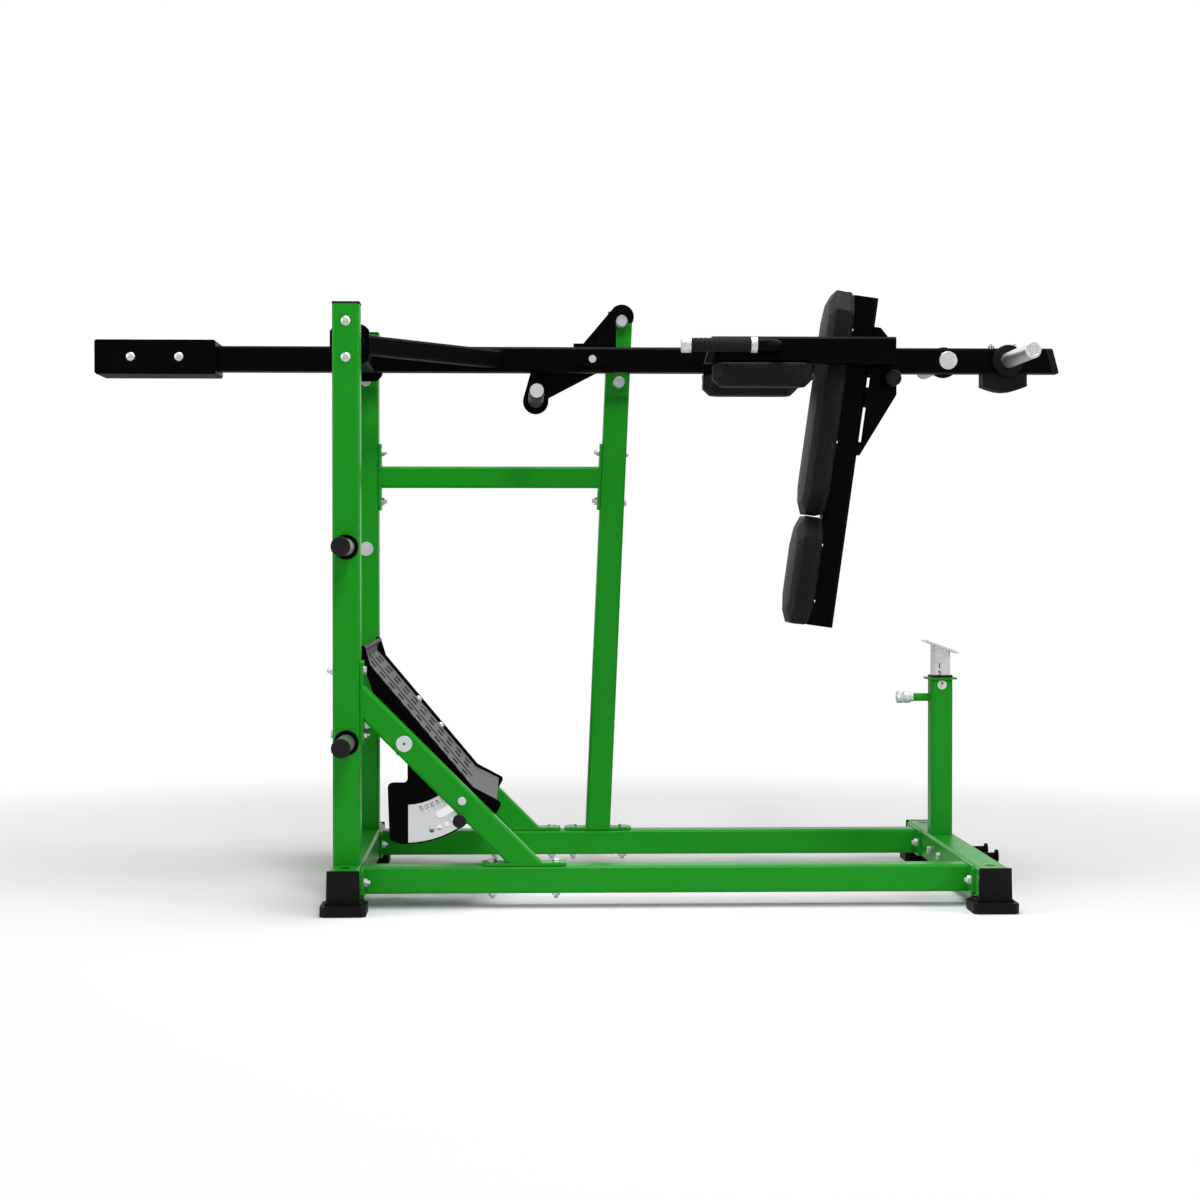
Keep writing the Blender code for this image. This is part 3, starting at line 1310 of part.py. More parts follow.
head_x = pin_top.x - 0.025 * head_radius
head_z = pin_top.z + 0.31 * head_radius
hook_outline = arc(lug_x, lug_z, lug_radius, 165, 298, 8)
reach = hook_lug_reach
hook_outline += [(lever_x + 0.083 * reach, arm_z - 0.205 * reach),
                 (lever_x + 0.305 * reach, arm_z - 0.083 * reach),
                 (pin_top.x - mouth_radius, arm_z + 0.028 * reach)]
hook_outline += arc(pin_top.x, pin_top.z, mouth_radius, 180, 0, 8)
hook_outline += [(pin_top.x + mouth_radius, pin_top.z - 0.19 * head_radius),
                 (pin_top.x + mouth_radius + 0.34 * head_radius, pin_top.z - 0.21 * head_radius)]
hook_outline += arc(head_x, head_z, head_radius, -18, 128, 9)
hook_outline += [(lever_x - 0.144 * reach, arm_z + 0.342 * reach),
                 (lever_x - 0.266 * reach, arm_z + 0.183 * reach),
                 (lever_x - 0.831 * reach, arm_z + 0.089 * reach),
                 (lever_x - 1.049 * reach, arm_z - 0.033 * reach)]
hook_plate = add_object("hook_plate", plate(hook_outline, hook_near, hook_far),
                        "black_powder_coat", lever_axis)
combine(hook_plate, [rod((lever_x, hook_near - 0.004, arm_z), (lever_x, hook_far + 0.004, arm_z),
                         lever_shaft_radius + gap, round_sides)], "DIFFERENCE")
shaft_start = bearing_face - lever_boss_reach - 0.001
shaft_end = hook_far + 0.002
hub_start = sleeve_end + running_gap
lever_shaft = turned([(lever_shaft_radius, 0), (lever_shaft_radius, hub_start - shaft_start),
                      (lever_shaft_radius + 0.004, hub_start - shaft_start),
                      (lever_shaft_radius + 0.004, hook_near - gap - shaft_start),
                      (lever_shaft_radius, hook_near - gap - shaft_start),
                      (lever_shaft_radius, shaft_end - shaft_start)],
                     (lever_x, shaft_start, arm_z), (0, 1, 0))
add_object("lever_shaft", lever_shaft, "zinc_steel", lever_axis, smooth=True)
bar_end = hook_near - gap
lever_bar = turned([(lever_bar_radius - 0.002, 0), (lever_bar_radius, 0.002),
                    (lever_bar_radius, bar_end - lever_bar_end_y),
                    (lever_bar_radius - lever_bar_wall, bar_end - lever_bar_end_y),
                    (lever_bar_radius - lever_bar_wall, 0.006)],
                   (bar_x, lever_bar_end_y, bar_z), (0, 1, 0))
add_object("lever_bar", lever_bar, "black_powder_coat", lever_axis, smooth=True)

# Back rest: post with the tilt plates welded behind it, and the pads in front of it
post_start = Vector((post_low[0], user_y, post_low[1]))
post_up = Vector((math.sin(post_lean), 0, math.cos(post_lean)))
post_out = Vector((-math.cos(post_lean), 0, math.sin(post_lean)))
post_end = post_start + post_up * post_length
back_post = add_object("back_post", square_tube(post_start, post_end, tube_size, tube_wall,
                                                up=post_out), "black_powder_coat", back_axis)
half = tube_size / 2
face = -(half - tube_wall / 2)
post_additions = []
for side, slit_depth in ((-1, 0.0075), (1, 0.022)):
    slit = -(half + slit_depth)
    tilt_outline = [(0.954, face), (0.954, -0.059), (0.932, -0.083), (0.815, -0.129),
                    (0.753, -0.1375), (0.548, -0.0485), (0.548, face), (0.590, face),
                    (0.590, max(slit, -0.065)), (0.7055, slit), (0.7055, face), (0.763, face),
                    (0.763, slit), (0.801, slit), (0.801, face)]
    outer = user_y + side * (half - 0.0005)
    inner = outer - side * tilt_plate_depth
    post_additions.append(plate([post_point(s, t) for s, t in tilt_outline],
                                min(outer, inner), max(outer, inner)))
for start, end in ((post_start, post_start + post_up * 0.004),
                   (post_end - post_up * 0.004, post_end)):
    inset = 2 * (tube_wall - weld_depth)
    post_additions.append(solid_bar(start + post_up * 0.0005, end - post_up * 0.0005,
                                    tube_size - inset, up=post_out, radius=corner_radius))
combine(back_post, post_additions, "UNION")
post_cutters = [rod((hinge_x, user_y - half - 0.004, hinge_z), (hinge_x, user_y + half + 0.004,
                                                                hinge_z), hinge_radius + gap,
                    round_sides)]
pin_vector = Vector((back_pin_x - hinge_x, 0, back_pin_z - hinge_z))
for step in (-1, 0, 1, 2):
    turn = Matrix.Rotation(step * tilt_step, 3, "Y")
    hole = Vector((hinge_x, 0, hinge_z)) + turn @ pin_vector
    post_cutters.append(rod((hole.x, user_y - half - 0.004, hole.z), (hole.x, user_y, hole.z),
                            pin_radius + running_gap, 8))
vent = post_start + post_up * 0.05
post_cutters.append(rod(vent, vent - post_out * tube_size, vent_radius, 8))
combine(back_post, post_cutters, "DIFFERENCE")

for name, span in (("upper_back_pad", upper_pad_span), ("lower_back_pad", lower_pad_span)):
    middle = (span[0] + span[1]) / 2
    x, z = post_point(middle, half + gap)
    pad = cushion((x, user_y, z), post_up, (0, 1, 0), post_out, span[1] - span[0], pad_width,
                  pad_depth, pad_corner, pad_bevel, pad_bevel_depth, pad_crown, board_depth)
    add_object(name, pad, "black_vinyl", back_axis, smooth=True)

cheek_near = user_y - cheek_half - cheek_depth
plate_face = user_y - half + 0.0005
back_pin = turned([(back_knob_radius * 0.9, -0.052), (back_knob_radius, -0.047),
                   (back_knob_radius, -0.030), (back_knob_radius * 0.6, -0.024),
                   (back_knob_radius * 0.6, -running_gap), (pin_radius, -running_gap),
                   (pin_radius, plate_face - gap - cheek_near)],
                  (back_pin_x, cheek_near, back_pin_z), (0, 1, 0), 14)
add_object("back_rest_pin", back_pin, "black_plastic", back_pin_axis, smooth=True)

# Footplate side plates. The outline is drawn from the axle; the near one carries the quadrant
edge_points = [(-0.1280, 0.2840), (-0.1025, 0.2240), (0.1982, -0.1345), (0.2792, -0.1750),
               (0.2675, -0.2125)]
top_lobe = arc(-0.1280, 0.2745, 0.010, 125, 12, 4)
toe = arc(0.2690, -0.1850, 0.0120, 40, -25, 3)
front_edge = top_lobe + edge_points[1:3] + toe + [edge_points[4]]
quadrant = arc(0.0, 0.0, quadrant_radius, -46, -93, 8)
quadrant += arc(-0.0330, -0.2810, 0.0150, -110, -180, 3)
quadrant += arc(-0.0380, -0.1360, 0.0150, 180, 90, 3)
quadrant += [(-0.0030, -0.1210), (0.0045, -0.1150), (0.0055, -0.1060), (0.0050, -0.0500)]
back_edge = [(-0.0450, -0.0050), (-0.1390, 0.2700)]
near_outline = front_edge + quadrant + [(-0.0250, -0.0400)] + back_edge
far_outline = front_edge + [(0.2100, -0.2150), (0.1000, -0.1250), (0.0200, -0.0560),
                            (-0.0250, -0.0400)] + back_edge
hub_reach = inner_y + 0.005 - gap - side_plate_y
side_plates = {}
for name, side, outline in (("near_side_plate", -1, near_outline),
                            ("far_side_plate", 1, far_outline)):
    low_y = side * side_plate_y - side_plate_depth / 2
    sheet = plate([(axle_x + x, axle_z + z) for x, z in outline], low_y,
                  low_y + side_plate_depth)
    piece = add_object(name, sheet, "black_powder_coat", foot_axis)
    face = side * (side_plate_y + side_plate_depth / 2 - 0.001)
    hub_end = side * (track_half - brace_size / 2 - 0.001)
    combine(piece, [rod((axle_x, face, axle_z), (axle_x, hub_end, axle_z), hub_radius,
                        round_sides)], "UNION")
    cuts = [rod((axle_x, side * side_plate_y - 0.012, axle_z),
                (axle_x, side * side_plate_y + side * 0.030 + 0.012 * (side > 0), axle_z),
                axle_radius + running_gap, round_sides)]
    side_plates[name] = (piece, cuts)

near_piece, near_cuts = side_plates["near_side_plate"]
far_piece, far_cuts = side_plates["far_side_plate"]
y_start = plate_near - 0.004
y_end = plate_inner + 0.004
near_cuts[0].free()
near_cuts[0] = rod((axle_x, -track_half, axle_z), (axle_x, y_end, axle_z),
                   axle_radius + running_gap, round_sides)
far_cuts[0].free()
far_cuts[0] = rod((axle_x, -y_end, axle_z), (axle_x, track_half, axle_z),
                  axle_radius + running_gap, round_sides)


def slot_cutter(y_low, y_high):
    """Arc slot of the quadrant, from the guide bolt at rest to its end of travel."""
    first = -math.degrees(guide_angle)
    last = first - setting_count * math.degrees(setting_step)
    start_angle = math.radians(first)
    end_angle = math.radians(last)
    half = slot_half_width
    outline = arc(0, 0, guide_arc_radius + half, first, last, 6)
    cx = guide_arc_radius * math.cos(end_angle)
    cz = guide_arc_radius * math.sin(end_angle)
    outline += arc(cx, cz, half, last - 45, last - 135, 2)
    outline += arc(0, 0, guide_arc_radius - half, last, first, 6)
    cx = guide_arc_radius * math.cos(start_angle)
    cz = guide_arc_radius * math.sin(start_angle)
    outline += arc(cx, cz, half, first + 135, first + 45, 2)
    return plate([(axle_x + x, axle_z + z) for x, z in outline], y_low, y_high)


def setting_holes(y_low, y_high):
    holes = []
    for k in range(setting_count + 1):
        angle = -(setting_angle + k * setting_step)
        x = axle_x + setting_arc_radius * math.cos(angle)
        z = axle_z + setting_arc_radius * math.sin(angle)
        holes.append(rod((x, y_low, z), (x, y_high, z), setting_hole_radius, 10))
    return holes


near_cuts += [slot_cutter(y_start, y_end)] + setting_holes(y_start, y_end)
combine(near_piece, near_cuts, "DIFFERENCE")
combine(far_piece, far_cuts, "DIFFERENCE")

scale_start = -50.0
scale_left = 0.0075
scale_top_angle = -math.degrees(math.acos(scale_left / scale_inner_radius))
scale_low_angle = -math.degrees(math.acos(scale_left / scale_outer_radius))
scale_outline = arc(0, 0, scale_inner_radius, scale_top_angle, scale_start, 6)
scale_outline += arc(0, 0, scale_outer_radius, scale_start, scale_low_angle, 8)
scale_y = plate_near - gap
scale = add_object("angle_scale", plate([(axle_x + x, axle_z + z) for x, z in scale_outline],
                                        scale_y - scale_depth, scale_y), "zinc_steel",
                   foot_axis)
scale_cuts = [slot_cutter(scale_y - 0.006, scale_y + 0.006)]
scale_cuts += setting_holes(scale_y - 0.006, scale_y + 0.006)
combine(scale, scale_cuts, "DIFFERENCE")

# Tread: one bent sheet with rows of slots, ending below a rod that ties the side plates
edge = [Vector((x, 0, z)) for x, z in edge_points[1:4]]
run = (edge[1] - edge[0]).normalized()
face_out = Vector((-run.z, 0, run.x))
toe_run = (edge[2] - edge[1]).normalized()
toe_out = Vector((-toe_run.z, 0, toe_run.x))
slope_start = edge[0] - face_out * tread_drop
slope_end = edge[1] - (face_out + toe_out) * (tread_drop / (1 + face_out.dot(toe_out)))
toe_end = edge[2] - toe_out * tread_drop - toe_run * 0.008
roll_point = Vector((-0.1235, 0, 0.2735))
roll_radius = 0.0075
tread_overrun = 0.033
tread_half = side_plate_y - side_plate_depth / 2 - gap
flange_point = slope_start - run * tread_overrun
tread_top = [flange_point, slope_end, toe_end]
miter_b = (face_out + toe_out).normalized() * tread_depth
tread_low = [flange_point - face_out * tread_depth, slope_end - miter_b,
             toe_end - toe_out * tread_depth]
sheet_outline = [(axle_x + p.x, axle_z + p.z) for p in tread_top + tread_low[::-1]]
tread = add_object("tread", plate(sheet_outline, -tread_half, tread_half), "tread_grey",
                   foot_axis)
roll = rod((axle_x + roll_point.x, -tread_half - gap - 0.002, axle_z + roll_point.z),
           (axle_x + roll_point.x, tread_half, axle_z + roll_point.z), roll_radius)
combine(near_piece, [roll], "UNION")
slot_pitch = 0.0432
slot_length = 0.024
slot_width = 0.065
slot_rows = (-0.275, -0.1375, 0.1375, 0.275)
slot_count = 11
slot_first = 0.0
slots = []
for y in slot_rows:
    for k in range(slot_count):
        middle = slope_start + run * (slot_first + k * slot_pitch)
        centre = Vector((axle_x + middle.x, y, axle_z + middle.z))
        slots.append(solid_bar(centre - run * slot_length / 2,
                               centre + run * slot_length / 2, 0.020, up=face_out,
                               width=slot_width))
combine(tread, slots, "DIFFERENCE")

axle_end = track_half + brace_size / 2 + gap
axle = turned([(axle_disc_radius, -axle_end - axle_disc_depth), (axle_disc_radius, -axle_end),
               (axle_radius, -axle_end), (axle_radius, axle_end), (axle_disc_radius, axle_end),
               (axle_disc_radius, axle_end + axle_disc_depth)], (axle_x, 0, axle_z), (0, 1, 0),
              round_sides)
add_object("footplate_axle", axle, "zinc_steel", datum, smooth=True)

knob_seat = bush_out - gap
tip = plate_near - scale_depth - 2 * gap
foot_pin = turned([(foot_knob_radius * 0.85, -0.040), (foot_knob_radius, -0.036),
                   (foot_knob_radius, -0.022), (foot_knob_radius * 0.55, -0.014),
                   (foot_knob_radius * 0.55, 0), (pin_radius, 0),
                   (pin_radius, tip - knob_seat)], (foot_pin_x, knob_seat, foot_pin_z),
                  (0, 1, 0), 14)
add_object("footplate_pin", foot_pin, "black_plastic", foot_pin_axis, smooth=True)
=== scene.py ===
# %% [markdown]
# # Pendulum squat machine
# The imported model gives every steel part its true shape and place. This lesson dresses it:
# real coatings on the steel, pads with a sewn cover, turned sleeves, knobs and grips, and the
# bolts that hold it together. Everything is in metres, with Z up and the floor at Z = 0.

# %% Load the frame
import bpy
import json
import math
from mathutils import Matrix, Vector


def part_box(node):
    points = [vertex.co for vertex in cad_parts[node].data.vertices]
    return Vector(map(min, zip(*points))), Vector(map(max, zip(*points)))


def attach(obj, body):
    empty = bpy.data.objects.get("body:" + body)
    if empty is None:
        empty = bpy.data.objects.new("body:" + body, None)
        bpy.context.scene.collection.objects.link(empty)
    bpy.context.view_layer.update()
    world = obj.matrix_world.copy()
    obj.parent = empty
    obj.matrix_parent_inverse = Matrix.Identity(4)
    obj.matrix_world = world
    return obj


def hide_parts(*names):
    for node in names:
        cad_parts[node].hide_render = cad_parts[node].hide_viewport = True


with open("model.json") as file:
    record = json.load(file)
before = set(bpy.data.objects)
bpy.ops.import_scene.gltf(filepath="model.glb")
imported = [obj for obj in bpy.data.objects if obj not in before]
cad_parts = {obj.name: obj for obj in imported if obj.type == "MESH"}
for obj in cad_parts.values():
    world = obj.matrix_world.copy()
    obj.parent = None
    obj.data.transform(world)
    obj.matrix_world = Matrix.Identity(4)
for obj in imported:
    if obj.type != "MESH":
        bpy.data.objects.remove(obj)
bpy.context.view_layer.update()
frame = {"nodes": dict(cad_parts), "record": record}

nodes = frame["nodes"]
low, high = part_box("near_upright")
front_x = (low.x + high.x) / 2
print("CAD nodes:", len(nodes), "uprights stand at X", round(front_x, 4))

# %% [markdown]
# The machine was measured from the centre line of its uprights, so one helper turns such a
# measured point into a place in the scene. The others select, copy, place and finish a piece.

# %% Measuring and selecting helpers
def at(x, y, z):
    """A point measured from the uprights' centre line, as a place in the scene."""
    return Vector((front_x + x, y, z))


def only(*pieces):
    """Select these pieces and nothing else, because an operator acts on all that is selected."""
    if bpy.context.object and bpy.context.object.mode != "OBJECT":
        bpy.ops.object.mode_set(mode="OBJECT")
    bpy.ops.object.select_all(action="DESELECT")
    for piece in pieces:
        piece.select_set(True)
    bpy.context.view_layer.objects.active = pieces[-1] if pieces else None


def edit(piece, test=None):
    """Open a piece in edit mode with all of it selected, or only the faces that pass a test."""
    only(piece)
    bpy.ops.object.mode_set(mode="EDIT")
    bpy.ops.mesh.select_all(action="DESELECT" if test else "SELECT")
    if test:
        bpy.ops.mesh.select_mode(type="FACE")
        bpy.ops.object.mode_set(mode="OBJECT")
        for face in piece.data.polygons:
            face.select = test(face)
        bpy.ops.object.mode_set(mode="EDIT")


def close():
    """Leave edit mode."""
    bpy.ops.object.mode_set(mode="OBJECT")


def own_copy(piece, name):
    """A second piece with its own mesh."""
    twin = piece.copy()
    twin.data = piece.data.copy()
    twin.name = name
    bpy.context.scene.collection.objects.link(twin)
    return twin


def fit(piece, name, body, finish):
    """Bake the place into the mesh, give the finish, and let the piece ride on its body."""
    only(piece)
    bpy.ops.object.transform_apply(location=True, rotation=True, scale=True)
    piece.name = name
    piece.data.name = name
    piece.data.materials.clear()
    piece.data.materials.append(finish)
    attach(piece, body)
    return piece


def stand(piece, spot, axis, name, body, finish, roll=0.0):
    """Fit a piece that was made at the origin along +Z on a measured spot, along an axis."""
    turn = Vector(axis).to_track_quat("Z", "Y").to_matrix().to_4x4()
    piece.matrix_world = Matrix.Translation(at(*spot)) @ turn @ Matrix.Rotation(roll, 4, "Z")
    return fit(piece, name, body, finish)


def discard(*patterns):
    """Remove the pieces that were only made to be copied."""
    for pattern in patterns:
        bpy.data.objects.remove(pattern)


# %% [markdown]
# ## Colours and nodes
# A colour is written as it looks on a screen and turned to linear light by one function. One
# small function adds a node, sets its values and joins its inputs.

# %% Colour and node helpers
def linear(code):
    """#RRGGBB as seen on a screen, turned to linear light."""
    parts = [int(code[i:i + 2], 16) / 255 for i in (1, 3, 5)]
    return tuple(p / 12.92 if p <= 0.04045 else ((p + 0.055) / 1.055) ** 2.4 for p in parts) + (1,)


def add_node(finish, kind, settings=None, **links):
    """Add a node; settings go to its properties or sockets, links join a socket to its input.

    A link is named for its input, or i0, i1 and so on where only the input's number tells."""
    node = finish.node_tree.nodes.new(kind)
    for key, value in (settings or {}).items():
        if isinstance(key, int) or key in node.inputs:
            node.inputs[key].default_value = value
        else:
            setattr(node, key, value)
    for key, source in links.items():
        numbered = key[0] == "i" and key[1:].isdigit()
        finish.node_tree.links.new(source, node.inputs[int(key[1:]) if numbered else key])
    return node


def new_finish(name, colour, roughness, metallic=0.0, **sockets):
    """A material that starts as one Principled shader with typical values."""
    finish = bpy.data.materials.new(name)
    finish.use_nodes = True
    shader = finish.node_tree.nodes["Principled BSDF"]
    shader.inputs["Base Color"].default_value = linear(colour)
    shader.inputs["Roughness"].default_value = roughness
    shader.inputs["Metallic"].default_value = metallic
    for key, value in sockets.items():
        shader.inputs[key.replace("_", " ")].default_value = value
    return finish


def join(finish, source, socket):
    """Join a node's output to the finish's own shader."""
    shader = finish.node_tree.nodes["Principled BSDF"]
    finish.node_tree.links.new(source, shader.inputs[socket])


# %% [markdown]
# ## One recipe for a coated surface
# Paint, plating and moulded rubber all show the same four things close up: soft patches of a
# darker tone, patches of duller gloss, corners that the coat has rounded, and low hills. They
# could be four pictures wrapped round each piece. Noise in metres is used instead, because it
# fits every piece without a seam. A Bevel node rounds the corners without more faces. A Mix
# node's colours are its inputs 6 and 7 and its output 2.

# %% Coated surface
def coated(name, dark, light, roughness, spread, patch, wear, corner, hills, metallic=0.0,
           **sockets):
    """Patch, wear and hills start with a size in metres and the noise's detail."""
    finish = new_finish(name, light, roughness, metallic, **sockets)
    point = add_node(finish, "ShaderNodeTexCoord").outputs["Object"]
    noises = [add_node(finish, "ShaderNodeTexNoise", {"Scale": 1 / layer[0], "Detail": layer[1]},
                       Vector=point).outputs["Fac"] for layer in (patch, wear, hills)]
    shade = add_node(finish, "ShaderNodeMix",
                     {"data_type": "RGBA", 6: linear(dark), 7: linear(light)}, Factor=noises[0])
    join(finish, shade.outputs[2], "Base Color")
    gloss = add_node(finish, "ShaderNodeMapRange",
                     {"From Min": 0.3, "From Max": 0.7, "To Min": roughness - spread[0],
                      "To Max": roughness + spread[1]}, Value=noises[1])
    join(finish, gloss.outputs["Result"], "Roughness")
    edge = add_node(finish, "ShaderNodeBevel", {"samples": 4, "Radius": corner})
    relief = add_node(finish, "ShaderNodeBump", {"Distance": hills[2], "Strength": hills[3]},
                      Height=noises[2], Normal=edge.outputs["Normal"])
    join(finish, relief.outputs["Normal"], "Normal")
    return finish


# %% [markdown]
# ## Powder coat
# The tubes are mild steel with a baked polyester powder coat. The powder melts into a satin
# film with a slight orange peel, about 3 mm from hill to hill and a few hundredths of a
# millimetre deep, and it pulls back a little at each edge, which rounds it by 1.6 mm.

# %% Green and black powder coat
powder = {"spread": (0.05, 0.06), "patch": (0.160, 2), "wear": (0.024, 4), "corner": 0.0016,
          "hills": (0.0032, 1, 0.000045, 0.5)}
green_coat = coated("powder_coat_green", "#178A1A", "#1B911E", 0.34, **powder,
                    Specular_IOR_Level=0.12)
black_coat = coated("powder_coat_black", "#020202", "#030303", 0.38, **powder,
                    Specular_IOR_Level=0.04)
print("powder coats:", green_coat.name, black_coat.name)

# %% [markdown]
# ## Bright metals
# Bolts and washers are zinc plated: a thin bright plating, slightly cloudy, bluish white. The
# weight sleeves are hard chromed tube, smoother and brighter. The stop tube and its strike
# plate are satin nickel plated steel, and the pegs are plain drawn steel tube, coloured a
# darker, faintly green grey as a painted reflection of the frame around them. Plating follows
# the steel closely, so its corners stay sharp and its hills, 9 mm wide, are very low.

# %% Zinc, chrome, satin nickel and peg steel
def bright_metal(name, dark, light, roughness, cloud, corner):
    return coated(name, dark, light, roughness, (0.04, 0.06), (cloud, 3), (cloud / 3, 3), corner,
                  (0.009, 1, 0.000004, 0.2), metallic=1.0)


zinc_plate = bright_metal("zinc_plated_steel", "#D6D8DA", "#E0E2E4", 0.42, 0.060, 0.0004)
chrome = bright_metal("chromed_tube", "#E6E7E8", "#F0F1F1", 0.34, 0.080, 0.0004)
nickel = bright_metal("satin_nickel_plate", "#D9D9DA", "#E0E0E0", 0.50, 0.080, 0.0005)
# The pegs' darker, faintly green grey is a painted reflection of the green frame.
peg_steel_green_reflection = bright_metal("satin_steel_tube_green_reflection", "#848881", "#8E928B", 0.44, 0.060, 0.0005)
print("metals:", zinc_plate.name, chrome.name, nickel.name, peg_steel_green_reflection.name)

# %% [markdown]
# The angle scale is a brushed stainless sheet. The brush lines run along X: a noise that is
# stretched thirty times along them gives fine lines about a millimetre apart, in colour, in
# gloss and as faint scratches.

# %% Brushed stainless sheet
brushed = new_finish("brushed_stainless_sheet", "#E4E5E6", 0.42, 1.0)
point = add_node(brushed, "ShaderNodeTexCoord").outputs["Object"]
stretch = add_node(brushed, "ShaderNodeMapping", {"Scale": (30, 900, 900)}, Vector=point)
lines = add_node(brushed, "ShaderNodeTexNoise", {"Scale": 1.0, "Detail": 3.0},
                 Vector=stretch.outputs["Vector"]).outputs["Fac"]
shade = add_node(brushed, "ShaderNodeMix",
                 {"data_type": "RGBA", 6: linear("#D6D7D8"), 7: linear("#ECEDEE")}, Factor=lines)
join(brushed, shade.outputs[2], "Base Color")
gloss = add_node(brushed, "ShaderNodeMapRange",
                 {"From Min": 0.3, "From Max": 0.7, "To Min": 0.36, "To Max": 0.50}, Value=lines)
join(brushed, gloss.outputs["Result"], "Roughness")
relief = add_node(brushed, "ShaderNodeBump", {"Distance": 0.00001, "Strength": 0.5}, Height=lines)
join(brushed, relief.outputs["Normal"], "Normal")
print("sheet:", brushed.name)

# %% [markdown]
# ## Rubber, plastic and grip foam
# The feet, end caps, collars and bumper are moulded black rubber: matt, with a fine moulded
# grain. Knobs and peg caps are nylon with a little more gloss. The grips are a dense foam
# rubber, dull, with open pores about half a millimetre wide, drawn at 1 mm so that they show.

# %% Moulded rubber, nylon and foam
def moulded(name, dark, light, roughness, grain, depth, specular):
    return coated(name, dark, light, roughness, (0.05, 0.08), (0.035, 3), (grain, 3), 0.0012,
                  (grain, 3, depth, 0.6), Specular_IOR_Level=specular)


rubber = moulded("moulded_rubber", "#0B0B0B", "#111111", 0.6, 0.0012, 0.00006, 0.12)
nylon = moulded("moulded_nylon", "#111111", "#181818", 0.45, 0.0015, 0.00003, 0.18)
grip_foam = moulded("grip_foam_rubber", "#131313", "#1D1D1D", 0.75, 0.0010, 0.00010, 0.12)
print("moulded:", rubber.name, nylon.name, grip_foam.name)

# %% [markdown]
# ## Footplate coat and printed figures
# The tread is steel with a textured anti-slip coat: a grey grit about 1.5 mm across that
# catches the light in specks, painted as lighter grit tops and darker gaps between them, a
# painted highlight and shade. Its slot walls are coloured near black as painted shade in the
# slots: the height above the sheet's middle, along its normal, tells wall from face. Printed
# figures are a flat black ink. The sheet slopes, so the top of its slots, the direction down
# it and the one off it get names, which also place its fasteners.

# %% Anti-slip coat
slope_top = Vector((0.05734, 0, 0.69807))
down = Vector((0.6427, 0, -0.7662))
off = Vector((0.7662, 0, 0.6427))
half_sheet, wall_reach = 0.0025, 0.0015
grit_coat = new_finish("anti_slip_coat", "#5C5C5D", 0.65, Specular_IOR_Level=0.3)
point = add_node(grit_coat, "ShaderNodeTexCoord").outputs["Object"]
grit = add_node(grit_coat, "ShaderNodeTexVoronoi", {"Scale": 1 / 0.0016}, Vector=point)
grain = add_node(grit_coat, "ShaderNodeMapRange",
                 {"From Min": 0.0, "From Max": 0.7, "To Min": 1.0, "To Max": 0.0},
                 Value=grit.outputs["Distance"]).outputs["Result"]
# Painted highlight and shade: the grit's tops are coloured lighter and the gaps between them
# darker; the same value raises the grit's relief.
shade = add_node(grit_coat, "ShaderNodeMix",
                 {"data_type": "RGBA", 6: linear("#585859"), 7: linear("#707072")}, Factor=grain)
height = add_node(grit_coat, "ShaderNodeVectorMath", {"operation": "DOT_PRODUCT", 1: off},
                  i0=point).outputs["Value"]
middle = at(*slope_top).dot(off) - half_sheet
# Painted shade: the slot walls, picked out by their height, are coloured near black.
slot_shade_mask = add_node(grit_coat, "ShaderNodeMath",
                    {"operation": "COMPARE", 1: middle, 2: wall_reach}, i0=height).outputs[0]
coat_with_slot_shade = add_node(grit_coat, "ShaderNodeMix", {"data_type": "RGBA", 7: linear("#0C0C0D")},
                    Factor=slot_shade_mask, i6=shade.outputs[2])
join(grit_coat, coat_with_slot_shade.outputs[2], "Base Color")
edge = add_node(grit_coat, "ShaderNodeBevel", {"samples": 4, "Radius": 0.0008})
relief = add_node(grit_coat, "ShaderNodeBump", {"Distance": 0.0002, "Strength": 0.6},
                  Height=grain, Normal=edge.outputs["Normal"])
join(grit_coat, relief.outputs["Normal"], "Normal")

# %% Printing ink
ink = new_finish("printed_ink", "#161616", 0.6)
point = add_node(ink, "ShaderNodeTexCoord").outputs["Object"]
blot = add_node(ink, "ShaderNodeTexNoise", {"Scale": 1 / 0.003, "Detail": 2}, Vector=point)
shade = add_node(ink, "ShaderNodeMix",
                 {"data_type": "RGBA", 6: linear("#0E0E0E"), 7: linear("#1C1C1C")},
                 Factor=blot.outputs["Fac"])
join(ink, shade.outputs[2], "Base Color")
print("coats:", grit_coat.name, ink.name)

# %% [markdown]
# ## Upholstery vinyl
# The pads are foam on a board under a stitched vinyl cover. The vinyl has a pressed leather
# grain: pebbles 2 to 3 mm wide with fine creases between them, drawn at 5 mm so that they
# show. A Voronoi pattern gives the pebbles, and noise breaks up their gloss, as wear does.
# The creases are coloured darker than the pebbles' tops, a painted shade.

# %% Pressed grain vinyl
vinyl = new_finish("pressed_grain_vinyl", "#101011", 0.5, Specular_IOR_Level=0.14)
point = add_node(vinyl, "ShaderNodeTexCoord").outputs["Object"]
pebble = add_node(vinyl, "ShaderNodeTexVoronoi",
                  {"Scale": 1 / 0.0050, "feature": "SMOOTH_F1", "Smoothness": 0.4}, Vector=point)
crease = add_node(vinyl, "ShaderNodeMapRange",
                  {"From Min": 0.25, "From Max": 0.62, "To Min": 1.0, "To Max": 0.0},
                  Value=pebble.outputs["Distance"]).outputs["Result"]
